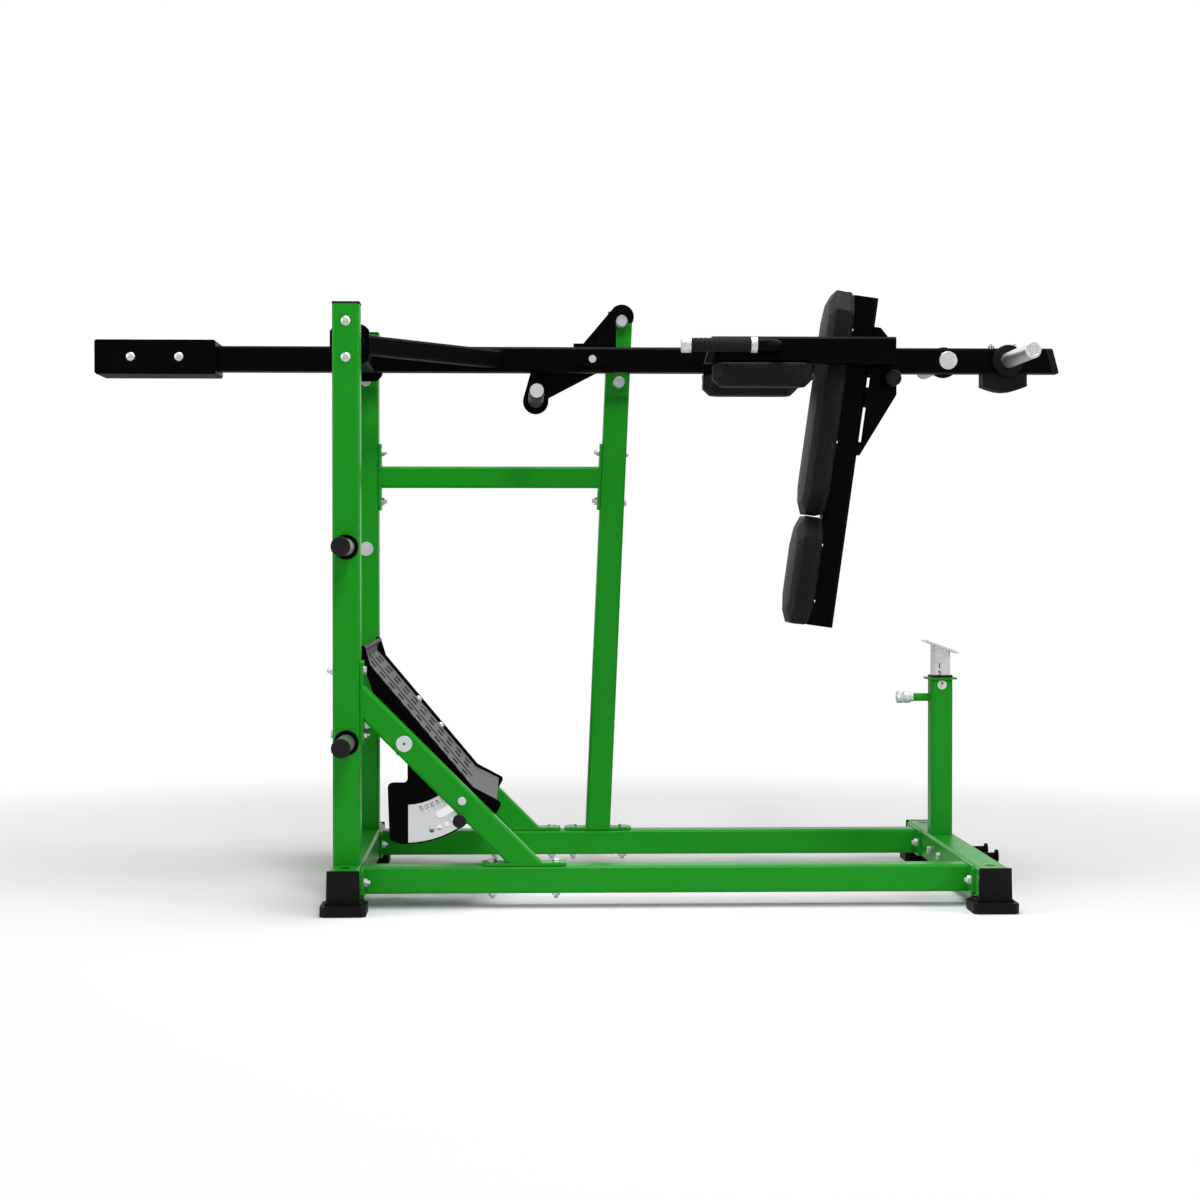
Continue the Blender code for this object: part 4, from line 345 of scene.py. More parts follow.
# Painted shade: the creases between the pebbles are coloured darker than the pebbles' tops.
shade = add_node(vinyl, "ShaderNodeMix",
                 {"data_type": "RGBA", 6: linear("#080809"), 7: linear("#131314")}, Factor=crease)
join(vinyl, shade.outputs[2], "Base Color")
wear = add_node(vinyl, "ShaderNodeTexNoise", {"Scale": 1 / 0.006, "Detail": 3}, Vector=point)
gloss = add_node(vinyl, "ShaderNodeMapRange",
                 {"From Min": 0.3, "From Max": 0.7, "To Min": 0.42, "To Max": 0.60},
                 Value=wear.outputs["Fac"])
join(vinyl, gloss.outputs["Result"], "Roughness")
relief = add_node(vinyl, "ShaderNodeBump", {"Distance": 0.0006, "Strength": 1.0}, Height=crease)
join(vinyl, relief.outputs["Normal"], "Normal")
print("upholstery:", vinyl.name)

# %% [markdown]
# ## Coat every CAD part
# Each steel node keeps its shape from the model and only gets a finish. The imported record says
# which coat each one has, so one table from its slots to the finishes covers nearly all. Three
# nodes have a finish of their own.

# %% Give each CAD node its finish
slot_finish = {"green_powder_coat": green_coat, "black_powder_coat": black_coat,
               "zinc_steel": zinc_plate, "grey_steel": nickel, "tread_grey": grit_coat,
               "black_rubber": rubber, "black_plastic": nylon, "black_vinyl": vinyl}
own_finish = {"angle_scale": brushed, "near_stub_shaft": green_coat,
              "far_stub_shaft": green_coat}
node_slot = {p["node"]: p["material_slot"] for p in frame["record"]["subparts"]}
for name, node in nodes.items():
    finish = own_finish.get(name, slot_finish[node_slot[name]])
    node.data.materials.clear()
    node.data.materials.append(finish)
print("coated", len(nodes), "nodes")

# %% [markdown]
# ## Turned parts
# Caps, collars, sleeves, knobs and bolt heads are all round parts from a lathe or a round
# mould. A disc is extruded one step at a time, and each new ring is scaled to its radius,
# which is how a lathe profile is drawn by hand.

# %% Lathe helper
def turned(profile, sides=40, angle=32):
    """A round piece along +Z from (radius, height) steps."""
    radius, height = profile[0]
    only()
    bpy.ops.mesh.primitive_circle_add(vertices=sides, radius=radius, fill_type="NGON",
                                      location=(0, 0, height))
    piece = bpy.context.object
    bpy.ops.object.transform_apply(location=True)
    edit(piece)
    for wide, tall in profile[1:]:
        bpy.ops.mesh.extrude_region_move(TRANSFORM_OT_translate={"value": (0, 0, tall - height)})
        bpy.ops.transform.resize(value=(wide / radius, wide / radius, 1),
                                 center_override=(0, 0, tall))
        radius, height = wide, tall
    bpy.ops.mesh.select_all(action="SELECT")
    bpy.ops.mesh.normals_make_consistent(inside=False)
    close()
    bpy.ops.object.shade_smooth_by_angle(angle=math.radians(angle))
    return piece


def merged(*parts):
    """Several shapes joined into one piece."""
    only(*parts)
    bpy.ops.object.join()
    return bpy.context.object


# %% [markdown]
# ## Hexagon bolts
# The frame is bolted with M12 hexagon bolts: a washer, a hexagon head with a chamfered top,
# and on the other side a washer, a nut and the bolt's threaded end. Each is modelled once and
# copied to its places. The model carries plain round studs there, which these pieces cover.

# %% One bolt head and one nut
washer = turned([(0.0128, 0.0), (0.0135, 0.0004), (0.0135, 0.0015), (0.0130, 0.0019)], 28)
nut_washer = own_copy(washer, "nut_washer")
hexagon = turned([(0.0126, 0.0019), (0.0126, 0.0073), (0.0114, 0.0082)], 6, 20)
bolt_head = merged(hexagon, washer)
hexagon = turned([(0.0126, 0.0019), (0.0126, 0.0092), (0.0112, 0.0102)], 6, 20)
thread = [(0.0066, 0.0095)]
pitch = 0.0014
for step in range(5):
    thread += [(0.0066, 0.0104 + step * pitch), (0.0062, 0.0111 + step * pitch)]
tail = turned(thread + [(0.0066, 0.0174), (0.0056, 0.0179)], 16)
bolt_nut = merged(tail, hexagon, nut_washer)
print("bolt head faces:", len(bolt_head.data.polygons), "nut faces:", len(bolt_nut.data.polygons))

# %% [markdown]
# Round headed bolts hold the stub shafts and the counterweight: a plain dome, with a square
# neck under it that keeps it from turning, and a large nut on the other side.

# %% One dome head and one large nut
dome = turned([(0.0150, 0.0), (0.0150, 0.0012), (0.0144, 0.0036), (0.0130, 0.0060),
               (0.0108, 0.0078), (0.0080, 0.0088), (0.0040, 0.0093), (0.0012, 0.0094)], 36)
washer = turned([(0.0160, 0.0), (0.0165, 0.0004), (0.0165, 0.0020), (0.0160, 0.0024)], 32)
hexagon = turned([(0.0172, 0.0024), (0.0172, 0.0112), (0.0154, 0.0124)], 6, 20)
large_tail = turned([(0.0083, 0.0120), (0.0083, 0.0180), (0.0072, 0.0193)], 20)
large_nut = merged(large_tail, hexagon, washer)
print("dome faces:", len(dome.data.polygons), "large nut faces:", len(large_nut.data.polygons))

# %% [markdown]
# Where each bolt sits: the rails' end plates, the braces' plates, the catch post's base and
# the stretcher. Every spot is on the face of the plate, with the direction that it points in.

# %% Bolt places
def unit(x, z):
    length = math.hypot(x, z)
    return (x / length, 0, z / length)


rail_z, rail_under, rail_plate_top = 0.083, 0.043, 0.1313
upright_y = 0.4625
upright_front, upright_plate = -0.040, 0.0483
forward, backward, up, under = (-1, 0, 0), (1, 0, 0), (0, 0, 1), (0, 0, -1)
heads, nuts = [], []
for y in (-0.5435, -0.3815, 0.3815, 0.5435):
    nuts += [((0.0533, y, rail_z), backward), ((1.8167, y, rail_z), forward)]
    heads += [((-0.045, y, rail_z), forward), ((1.915, y, rail_z), backward)]
for y in (-upright_y, upright_y):
    nuts += [((upright_plate, y, 0.5067), backward), ((upright_front, y, 0.6927), forward)]
    heads += [((upright_front, y, 0.5067), forward), ((upright_plate, y, 0.6927), backward)]
    heads += [((x, y, rail_plate_top), up) for x in (0.4237, 0.6097)]
    nuts += [((x, y, rail_under), under) for x in (0.4237, 0.6097)]
heads += [((x, upright_y, rail_plate_top), up) for x in (0.6813, 0.8443)]
nuts += [((x, upright_y, rail_under), under) for x in (0.6813, 0.8443)]
nuts += [((upright_plate, upright_y, z), backward) for z in (1.209, 1.371)]
heads += [((upright_front, upright_y, z), forward) for z in (1.209, 1.371)]
lean = unit(0.8498 - 0.7616, 1.2073 - 1.2112)  # across the catch post, from nut to head
nuts += [((x, upright_y, z), (-lean[0], 0, -lean[2]))
         for x, z in ((0.7616, 1.2112), (0.7687, 1.373))]
heads += [((x, upright_y, z), lean) for x, z in ((0.8498, 1.2073), (0.8569, 1.3692))]

# %% Copy the bolts to their places
def repeat(pattern, spots, name, body, finish=zinc_plate):
    """Copies of one modelled piece, each with its own mesh, at (spot, direction) pairs."""
    for count, (spot, axis) in enumerate(spots, 1):
        stand(own_copy(pattern, name), spot, axis, f"{name}_{count}", body,
              finish, roll=0.5 * count)
    discard(pattern)
    print(name, len(spots))


repeat(bolt_head, heads, "frame_bolt_head", "frame")
repeat(bolt_nut, nuts, "frame_bolt_nut", "frame")
arm_dome, arm_nut = own_copy(dome, "arm_dome"), own_copy(large_nut, "arm_nut")
shaft_bolts = [(side, z) for side in (-1, 1) for z in (1.603, 1.708)]
repeat(dome, [((0, side * 0.5025, z), (0, side, 0)) for side, z in shaft_bolts],
       "stub_shaft_screw", "frame")
repeat(large_nut, [((0, side * 0.4122, z), (0, -side, 0)) for side, z in shaft_bolts],
       "stub_shaft_nut", "frame")
arm_y, arm_z = 0.245, 1.659
counterweight_x = (-0.725, -0.573)
repeat(arm_dome, [((x, 0.15, arm_z), (0, -1, 0)) for x in counterweight_x],
       "counterweight_screw", "arm")
repeat(arm_nut, [((x, 0.334, arm_z), (0, 1, 0)) for x in counterweight_x],
       "counterweight_nut", "arm")

# %% [markdown]
# The guide bolt runs through the near brace and the quadrant's slot. It has a flat round head
# outside, and a washer and a nut inside. Two smaller nuts hold the rubber bumper under the
# arm, and the catch pins' bright ends stand out of the black hook that rests on them.

# %% Guide bolt, bumper nuts and catch pins
guide_x, guide_z = 0.3354, 0.3126
guide_head = turned([(0.0112, 0.0), (0.0122, 0.0006), (0.0122, 0.0052), (0.0112, 0.0062),
                     (0.0040, 0.0063)], 36)
repeat(guide_head, [((guide_x, -0.4975, guide_z), (0, -1, 0))], "guide_bolt_head", "frame")
washer = turned([(0.0178, 0.0), (0.0182, 0.0004), (0.0182, 0.0028), (0.0178, 0.0032)], 36)
hexagon = turned([(0.0114, 0.0032), (0.0114, 0.0108), (0.0100, 0.0116)], 6, 20)
guide_nut = merged(hexagon, washer)
repeat(guide_nut, [((guide_x, -0.4001, guide_z), (0, 1, 0))], "guide_bolt_nut", "frame")
washer = turned([(0.0122, 0.0), (0.0126, 0.0004), (0.0126, 0.0018), (0.0122, 0.0022)], 28)
hexagon = turned([(0.0108, 0.0022), (0.0108, 0.0096), (0.0096, 0.0106)], 6, 20)
tip = turned([(0.0056, 0.0100), (0.0056, 0.0154), (0.0048, 0.0162)], 16)
bumper_nut = merged(tip, hexagon, washer)
repeat(bumper_nut, [((x, arm_y, 1.6990), up) for x in (2.0315, 2.1075)], "bumper_nut", "arm")
pin_cover = turned([(0.0168, -0.0001), (0.0177, 0.0008), (0.0177, 0.0740)], 40)
repeat(pin_cover, [((x, 0.3393, z), (0, 1, 0)) for x, z in ((0.8293, 1.5978), (0.838, 1.7966))],
       "catch_pin_sleeve", "frame")

# %% [markdown]
# ## Caps and plugs
# A moulded cap fits over the top of each upright, and a flush plug closes each access hole
# in the cross-members, through which the feet are bolted on. The cap starts as a cube that is
# flattened and bevelled all round.

# %% Upright caps and hole plugs
rear_x = 1.87
both_sides = ((-1, "near"), (1, "far"))
for side, side_name in both_sides:
    only()
    bpy.ops.mesh.primitive_cube_add(size=1, location=at(0, side * upright_y, 1.7621),
                                    scale=(0.0812, 0.0812, 0.0062))
    cap = bpy.context.object
    bpy.ops.object.transform_apply(location=True, scale=True)
    edit(cap)
    bpy.ops.mesh.bevel(offset=0.0012, segments=2, affect="EDGES")
    close()
    bpy.ops.object.shade_smooth_by_angle(angle=math.radians(35))
    fit(cap, side_name + "_upright_cap", "frame", rubber)
plug = turned([(0.0157, -0.0030), (0.0157, 0.0), (0.0150, 0.0006), (0.0090, 0.0009),
               (0.0010, 0.0009)], 32)
repeat(plug, [((x, y, 0.128), up) for x in (0, rear_x) for y in (-0.57, 0.57)], "hole_plug",
       "frame", nylon)

# %% [markdown]
# ## Footplate fasteners
# Dome nuts near the tread's far edge hold it to the side plate, small countersunk screws hold
# it to the bars under it, a black strip along the joint of its two halves stands for the dark
# shade line there as painted shade, and its top edge is folded up to the rod. They lie on the
# sloped sheet, so they are placed by how far down the slope they are, from the top of the slots.

# %% Dome nuts, screws, strip and fold of the tread
def on_tread(along, y, lift=0.0):
    return tuple(slope_top + down * along + off * lift + Vector((0, y, 0)))


cap_nut = turned([(0.0118, 0.0), (0.0122, 0.0005), (0.0122, 0.0018), (0.0104, 0.0022),
                  (0.0104, 0.0060), (0.0090, 0.0090), (0.0062, 0.0112), (0.0024, 0.0120)], 32)
repeat(cap_nut, [(on_tread(along, 0.35), off) for along in (0.178, 0.291)],
       "tread_cap_nut", "footplate")
screw = turned([(0.0042, 0.0), (0.0040, 0.0005), (0.0018, 0.0007)], 16)
repeat(screw, [(on_tread(along, y), off) for along in (-0.023, 0.2125, 0.4485)
               for y in (-0.24, -0.008, 0.24)], "tread_screw", "footplate")


def strip(start, end, width, thick, name, finish):
    """A flat strip from one measured point to another, width along Y."""
    only()
    start, end = Vector(start), Vector(end)
    bpy.ops.mesh.primitive_cube_add(size=1, location=(0, 0, 0),
                                    scale=(width, thick, (end - start).length))
    piece = bpy.context.object
    bpy.ops.object.transform_apply(scale=True)
    run = (end - start).normalized()
    side = Vector((0, 1, 0))
    piece.matrix_world = (Matrix.Translation(at(*((start + end) / 2)))
                          @ Matrix((side, run.cross(side), run)).transposed().to_4x4())
    edit(piece)
    bpy.ops.mesh.bevel(offset=thick * 0.2, segments=1, affect="EDGES")
    close()
    return fit(piece, name, "footplate", finish)


joint_y, joint_lift, tread_width = -0.031, 0.0012, 0.8008
# Painted shade: a black rubber strip stands for the dark shade line at the tread's joint.
strip(on_tread(-0.031, joint_y, joint_lift), on_tread(0.462, joint_y, joint_lift), 0.0040, 0.0024,
      "tread_joint_shade_strip", rubber)
strip(on_tread(-0.0330, 0, -0.0020), on_tread(-0.0450, 0, 0.0110), tread_width, 0.0040,
      "tread_top_fold", grit_coat)
print("tread strip and fold added")

# %% [markdown]
# ## Rubber feet
# Each foot is one moulding: a thick base with cut corners and a shallow panel in its front, a
# pad under the tube, and a plate that closes the tube's end and narrows towards its top. Three
# cubes are sized, bevelled and tapered in edit mode and joined, and the foot is copied with a
# half turn for the far side.

# %% Foot
def block(centre, size, chamfer, upright_edges):
    """A cube of this size, with its upright edges or all its edges bevelled."""
    only()
    bpy.ops.mesh.primitive_cube_add(size=1, location=centre, scale=size)
    piece = bpy.context.object
    bpy.ops.object.transform_apply(location=True, scale=True)
    bpy.ops.object.mode_set(mode="EDIT")
    bpy.ops.mesh.select_mode(type="EDGE")
    bpy.ops.mesh.select_all(action="DESELECT")
    bpy.ops.object.mode_set(mode="OBJECT")
    for edge in piece.data.edges:
        ends = [piece.data.vertices[i].co for i in edge.vertices]
        edge.select = not upright_edges or abs(ends[0].z - ends[1].z) > size[2] / 2
    bpy.ops.object.mode_set(mode="EDIT")
    bpy.ops.mesh.bevel(offset=chamfer, segments=1 if upright_edges else 2, affect="EDGES")
    bpy.ops.mesh.select_mode(type="FACE")
    bpy.ops.mesh.select_all(action="DESELECT")
    bpy.ops.object.mode_set(mode="OBJECT")
    return piece


base = block((0, -0.60365, 0.0150), (0.1310, 0.1373, 0.0296), 0.012, True)
edit(base, lambda face: face.normal.y < -0.99)
bpy.ops.mesh.inset(thickness=0.0004, depth=0)
bpy.ops.transform.resize(value=(0.52, 1, 1))
bpy.ops.mesh.inset(thickness=0.0003, depth=-0.0010)
close()
pad_block = block((0, -0.5982, 0.0325), (0.1070, 0.1022, 0.0104), 0.002, False)
plate_y = -0.6453
plate = block((0, plate_y, 0.0787), (0.0975, 0.0100, 0.1014), 0.0015, False)
edit(plate, lambda face: face.center.z > 0.125)
bpy.ops.transform.resize(value=(0.955, 1, 1), center_override=(0, plate_y, 0.1294))
close()
foot = merged(base, pad_block, plate)
bpy.ops.object.shade_smooth_by_angle(angle=math.radians(30))
for x, end in ((0, "front"), (rear_x, "rear")):
    for roll, side_name in ((0, "near"), (math.pi, "far")):
        twin = stand(own_copy(foot, "foot"), (x, 0, 0), up, f"{end}_{side_name}_foot_moulding",
                     "frame", rubber, roll)
        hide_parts(f"{end}_{side_name}_foot")
discard(foot)
print("feet: 4")

# %% [markdown]
# ## Hook plate
# The hook plate is flame cut: its lower edge runs straight to the eye that holds the lever
# bar and meets the eye in a corner. The model's plate is fuller there. It could be drawn anew,
# but a wedge that is cut off a copy with a Boolean modifier keeps its other edges as they are.

# %% Cut the hook plate
eye_x, eye_z, eye_radius = 0.5564, 1.5323, 0.0417
outline = [(0.7500, 1.6222), (0.5986, 1.5430)]
for degrees in (-4, -18, -32, -47, -62):
    turn = math.radians(degrees)
    outline.append((eye_x + eye_radius * math.cos(turn), eye_z + eye_radius * math.sin(turn)))
outline += [(0.6100, 1.4500), (0.8200, 1.5800)]
only()
bpy.ops.mesh.primitive_circle_add(vertices=len(outline), radius=1, fill_type="NGON")
wedge = bpy.context.object
for vertex, (x, z) in zip(wedge.data.vertices, outline):
    vertex.co = at(x, 0.320, z)
edit(wedge)
bpy.ops.mesh.extrude_region_move(TRANSFORM_OT_translate={"value": (0, 0.030, 0)})
bpy.ops.mesh.select_all(action="SELECT")
bpy.ops.mesh.normals_make_consistent(inside=False)
close()
hook = bpy.data.objects.new("hook_cut", nodes["hook_plate"].data.copy())
bpy.context.scene.collection.objects.link(hook)
edit(hook)
bpy.ops.mesh.remove_doubles(threshold=0.00005)
close()
bpy.ops.object.modifier_add(type="BOOLEAN")
hook.modifiers[-1].operation = "DIFFERENCE"
hook.modifiers[-1].object = wedge
bpy.ops.object.modifier_apply(modifier=hook.modifiers[-1].name)
discard(wedge)
fit(hook, "hook_flame_cut", "release_lever", black_coat)
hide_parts("hook_plate")
print("hook plate faces:", len(hook.data.polygons))

# %% [markdown]
# ## Storage pegs
# Four pegs for spare plates stand out from the uprights: a black flange against the upright,
# a satin steel tube, and a moulded cap that stops the plates at the end. On the upright's inner
# face a washer and a nut pull the peg tight. Each piece is turned once and copied four times.

# %% Peg flange, tube, cap and nut
flange = turned([(0.0345, 0.0), (0.0365, 0.0010), (0.0365, 0.0062), (0.0345, 0.0080)], 56)
peg_tube = turned([(0.0250, 0.0070), (0.0250, 0.2125)], 48)
peg_cap = turned([(0.0262, 0.2095), (0.0280, 0.2110), (0.0280, 0.2178), (0.0270, 0.2200),
                  (0.0240, 0.2216), (0.0180, 0.2220), (0.0170, 0.2213)], 48)
peg_washer = turned([(0.0225, -0.0836), (0.0230, -0.0832), (0.0230, -0.0810),
                     (0.0226, -0.0806)], 36)
peg_nut = turned([(0.0104, -0.0936), (0.0112, -0.0930), (0.0112, -0.0836)], 6, 20)
peg_nut = merged(peg_washer, peg_nut)
peg_parts = ((peg_tube, "tube", peg_steel_green_reflection, "grey_steel"),
             (flange, "flange", black_coat, "black_powder_coat"),
             (peg_cap, "cap", nylon, "black_plastic"), (peg_nut, "nut", zinc_plate, "zinc_steel"))
for side, side_name in both_sides:
    for z, level in ((1.053, "upper"), (0.484, "lower")):
        for pattern, part, finish, slot_name in peg_parts:
            piece = stand(own_copy(pattern, part), (0, side * 0.5028, z), (0, side, 0),
                          f"{side_name}_{level}_peg_{part}", "frame", finish)
            if part == "tube":
                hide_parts(f"{side_name}_{level}_peg")
discard(flange, peg_tube, peg_cap, peg_nut)
print("storage pegs: 4")

# %% [markdown]
# ## Band pegs
# Two short black pegs on the rear cross-member hold elastic bands: a rod with a disc at its
# end that keeps the band on, rounded so that it doesn't cut the band.

# %% Band pegs
band_peg = turned([(0.0120, 0.0), (0.0120, 0.0835), (0.0135, 0.0850), (0.0198, 0.0856),
                   (0.0210, 0.0868), (0.0210, 0.0928), (0.0198, 0.0940), (0.0060, 0.0940)], 40)
peg_nut = turned([(0.0110, -0.1006), (0.0124, -0.0996), (0.0124, -0.0906)], 6, 20)
for y, side_name in ((0.008, "near"), (0.177, "far")):
    peg_root = (1.9153, y, rail_z)
    piece = stand(own_copy(band_peg, "band_peg"), peg_root, backward,
                  side_name + "_band_peg_rod", "frame", black_coat)
    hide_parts(side_name + "_band_peg")
    stand(own_copy(peg_nut, "nut"), peg_root, backward, side_name + "_band_peg_nut",
          "frame", zinc_plate)
discard(band_peg, peg_nut)
print("band pegs: 2")

# %% [markdown]
# ## Weight sleeves
# The plates that load the arm slide on two chromed sleeves, one on each side. Each sleeve is
# held by a long bolt through the arm, which shows as a recessed ring in its end face, with a
# plain disc on the arm's other face. A rubber collar keeps the plates off the arm.

# %% Sleeves, collars and discs
collar = turned([(0.0470, 0.0), (0.0500, 0.0020), (0.0500, 0.0145), (0.0475, 0.0168),
                 (0.0300, 0.0170)], 64)
end_disc = turned([(0.0016, -0.0840), (0.0022, -0.0846), (0.0278, -0.0846), (0.0290, -0.0838),
                   (0.0290, -0.0812), (0.0284, -0.0806)], 48)
for side_name, x, y, side, length in (("near", 2.077, 0.2047, -1, 0.3847),
                                      ("far", 1.884, 0.2853, 1, 0.385)):
    root, outward = (x, y, arm_z), (0, side, 0)
    sleeve = turned([(0.0250, 0.0), (0.0250, length - 0.0016), (0.0238, length), (0.0172, length),
                     (0.0165, length - 0.0008), (0.0165, length - 0.0060),
                     (0.0110, length - 0.0060), (0.0104, length - 0.0030)], 56)
    stand(sleeve, root, outward, side_name + "_weight_sleeve", "arm", chrome)
    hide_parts(side_name + "_weight_horn")
    disc = stand(own_copy(collar, "collar"), root, outward, side_name + "_sleeve_collar",
                 "arm", rubber)
    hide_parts(side_name + "_horn_collar")
    stand(own_copy(end_disc, "disc"), root, outward, side_name + "_sleeve_disc",
          "arm", zinc_plate)
discard(collar, end_disc)
print("weight sleeves: 2")

# %% [markdown]
# ## Handles
# Each handle is a bent steel bar, black coated, with a ribbed foam grip pushed on, a bright
# collar behind it and a bright plug in its end. The bar is a disc that is extruded, spun
# through a quarter turn and extruded again into the side of the carrier.

# %% Handle bar
handle_z = 1.6655
bend_x, bend_radius = 1.225, 0.065


def handle_bar(y, side, root_y, name, node):
    only()
    bpy.ops.mesh.primitive_circle_add(vertices=28, radius=0.019, fill_type="NGON",
                                      location=at(1.000, y, handle_z),
                                      rotation=(0, math.pi / 2, 0))
    bar = bpy.context.object
    bpy.ops.object.transform_apply(location=True, rotation=True)
    edit(bar)
    bpy.ops.mesh.extrude_region_move(TRANSFORM_OT_translate={"value": (0.225, 0, 0)})
    end = y + side * bend_radius
    bpy.ops.mesh.spin(steps=12, angle=-side * math.pi / 2, center=at(bend_x, end, handle_z),
                      axis=(0, 0, 1))
    bpy.ops.mesh.extrude_region_move(TRANSFORM_OT_translate={"value": (0, root_y - end, 0)})
    bpy.ops.mesh.select_all(action="SELECT")
    bpy.ops.mesh.remove_doubles(threshold=0.00001)
    bpy.ops.mesh.normals_make_consistent(inside=False)
    close()
    bpy.ops.object.shade_smooth_by_angle(angle=math.radians(40))
    fit(bar, name, "arm", black_coat)
    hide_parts(node)
    return bar


near_y, far_y = -0.25, 0.36
near_bar = handle_bar(near_y, 1, -0.1753, "near_handle_tube", "near_handle_bar")
far_bar = handle_bar(far_y, -1, 0.2853, "far_handle_tube", "far_handle_bar")
print("handle bars are", round(near_bar.dimensions.x, 3), "and", round(far_bar.dimensions.x, 3),
      "m long")

# %% [markdown]
# The grip's ribs are rings 15 mm apart: broad rounded bands with a narrow groove
# between them, and a thicker lip at each end.

# %% Grip, collar and end plug
rib_count, rib_spacing = 11, 0.0150
ribs = [(0.0205, 0.0301), (0.0215, 0.0312), (0.0215, 0.0352), (0.0209, 0.0358)]
for rib in range(rib_count):
    start = 0.0366 + rib * rib_spacing
    ribs += [(0.0196, start), (0.0196, start + 0.0016), (0.0211, start + 0.0034),
             (0.0213, start + 0.0082), (0.0211, start + 0.0130)]
ribs += [(0.0215, 0.2040), (0.0215, 0.2096), (0.0205, 0.2106)]
grip = turned(ribs, 44, 40)
ring = turned([(0.0236, 0.2111), (0.0245, 0.2118), (0.0245, 0.2180), (0.0232, 0.2188),
               (0.0232, 0.2212), (0.0245, 0.2220), (0.0245, 0.2292), (0.0236, 0.2300),
               (0.0200, 0.2300)], 48)
plug = turned([(0.0140, 0.0), (0.0226, 0.0), (0.0243, 0.0014), (0.0245, 0.0036), (0.0245, 0.0210),
               (0.0236, 0.0228), (0.0236, 0.0244), (0.0245, 0.0256), (0.0245, 0.0290),
               (0.0236, 0.0295)], 48)
grip_parts = ((grip, "foam_grip", grip_foam, "black_rubber"),
              (ring, "grip_ring", nickel, "black_powder_coat"),
              (plug, "grip_plug", nickel, "black_powder_coat"))
for side_name, y in (("near", near_y), ("far", far_y)):
    for pattern, part, finish, slot_name in grip_parts:
        piece = stand(own_copy(pattern, part), (0.9915, y, handle_z), backward,
                      f"{side_name}_{part}", "arm", finish)
        if part == "foam_grip":
            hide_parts(side_name + "_grip")
discard(grip, ring, plug)
print("grips: 2, with", rib_count, "ribs each")

# %% [markdown]
# ## Release lever bar
# A round tube welded to the foot of the hook plate, with a bright plug in its near end that
# the hand meets first.

# %% Lever bar and its plug
lever_tube = turned([(0.0228, 0.0), (0.0240, 0.0012), (0.0240, 0.4907)], 48)
stand(lever_tube, (eye_x, -0.16, eye_z), (0, 1, 0), "lever_bar_tube", "release_lever",
      black_coat)
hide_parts("lever_bar")
lever_plug = turned([(0.0180, 0.0100), (0.0218, 0.0004), (0.0212, 0.0), (0.0100, 0.0)], 48)
stand(lever_plug, (eye_x, -0.1601, eye_z), (0, 1, 0), "lever_bar_plug", "release_lever",
      nickel)
print("lever bar is", round(lever_tube.dimensions.y * 1000), "mm long")

# %% [markdown]
# ## Pull pins
# Three spring pins lock the settings. The footplate's and the back rest's have a round nylon
# knob on a neck. The stop post's has a bright steel knob whose outer half is knurled, so each
# side face there is inset and pushed in to raise a ridge between it and the next.

# %% Nylon knobs and the steel knob
def nylon_knob(radius, neck, length, reach):
    return turned([(neck, -0.0005), (neck, reach - length),
                   (radius * 0.86, reach - length + 0.0004),
                   (radius, reach - length + 0.0026), (radius, reach - 0.0040),
                   (radius * 0.93, reach - 0.0012), (radius * 0.80, reach),
                   (radius * 0.74, reach), (radius * 0.72, reach - 0.0009)], 40)


stand(nylon_knob(0.0195, 0.0107, 0.018, 0.040), (0.3292, -0.5328, 0.2612), (0, -1, 0),
      "footplate_pin_knob", "footplate_pin", nylon)
stand(nylon_knob(0.0255, 0.0153, 0.022, 0.052), (1.6673, 0.001, 1.5826), (0, -1, 0),
      "back_rest_pin_knob", "back_rest_pin", nylon)
print("nylon knobs: 2")

# %% Knurled steel knob
knob = turned([(0.0060, -0.0690), (0.0060, -0.0088), (0.0150, -0.0086), (0.0150, -0.0008),
               (0.0170, 0.0), (0.0190, 0.0016), (0.0190, 0.0205), (0.0176, 0.0215),
               (0.0176, 0.0235), (0.0190, 0.0245), (0.0190, 0.0430), (0.0172, 0.0450)], 48)
edit(knob, lambda face: abs(face.normal.z) < 0.1 and 0.026 < face.center.z < 0.042)
bpy.ops.mesh.inset(use_individual=True, thickness=0.0006, depth=-0.0008)
close()
stand(knob, (1.770, arm_y, 0.5717), forward, "stop_pin_knob", "stop_pin", zinc_plate)
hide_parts("stop_pin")
print("knurled knob faces:", len(knob.data.polygons))

# %% [markdown]
# The strike plate on top of the stop tube has one hole, whose shade is painted as a thin dark
# disc.

# %% Painted shade of the hole in the strike plate
hole_shade_disc = turned([(0.0045, 0.0), (0.0045, 0.0004)], 20)
stand(hole_shade_disc, (1.8245, arm_y, 0.7560), unit(0.32, 1.0), "strike_plate_hole_shade", "stop_tube",
      ink)
print("strike plate hole added")

# %% [markdown]
# ## Axle discs
# The footplate's axle ends in a zinc plated disc on each brace, turned with fine rings and a
# dark centre.

# %% Axle discs
axle_x, axle_z = 0.1675, 0.4805
disc = turned([(0.0231, -0.0002), (0.0234, 0.0002), (0.0234, 0.0042), (0.0226, 0.0048),
               (0.0190, 0.0048), (0.0186, 0.0044), (0.0150, 0.0044), (0.0146, 0.0048),
               (0.0108, 0.0048), (0.0104, 0.0044)], 48, 20)
repeat(disc, [((axle_x, side * 0.4988, axle_z), (0, side, 0)) for side in (-1, 1)],
       "axle_disc", "footplate")
dot = turned([(0.0036, 0.0), (0.0036, 0.0003)], 20)
repeat(dot, [((axle_x, side * 0.5034, axle_z), (0, side, 0)) for side in (-1, 1)],
       "axle_dot", "footplate", ink)

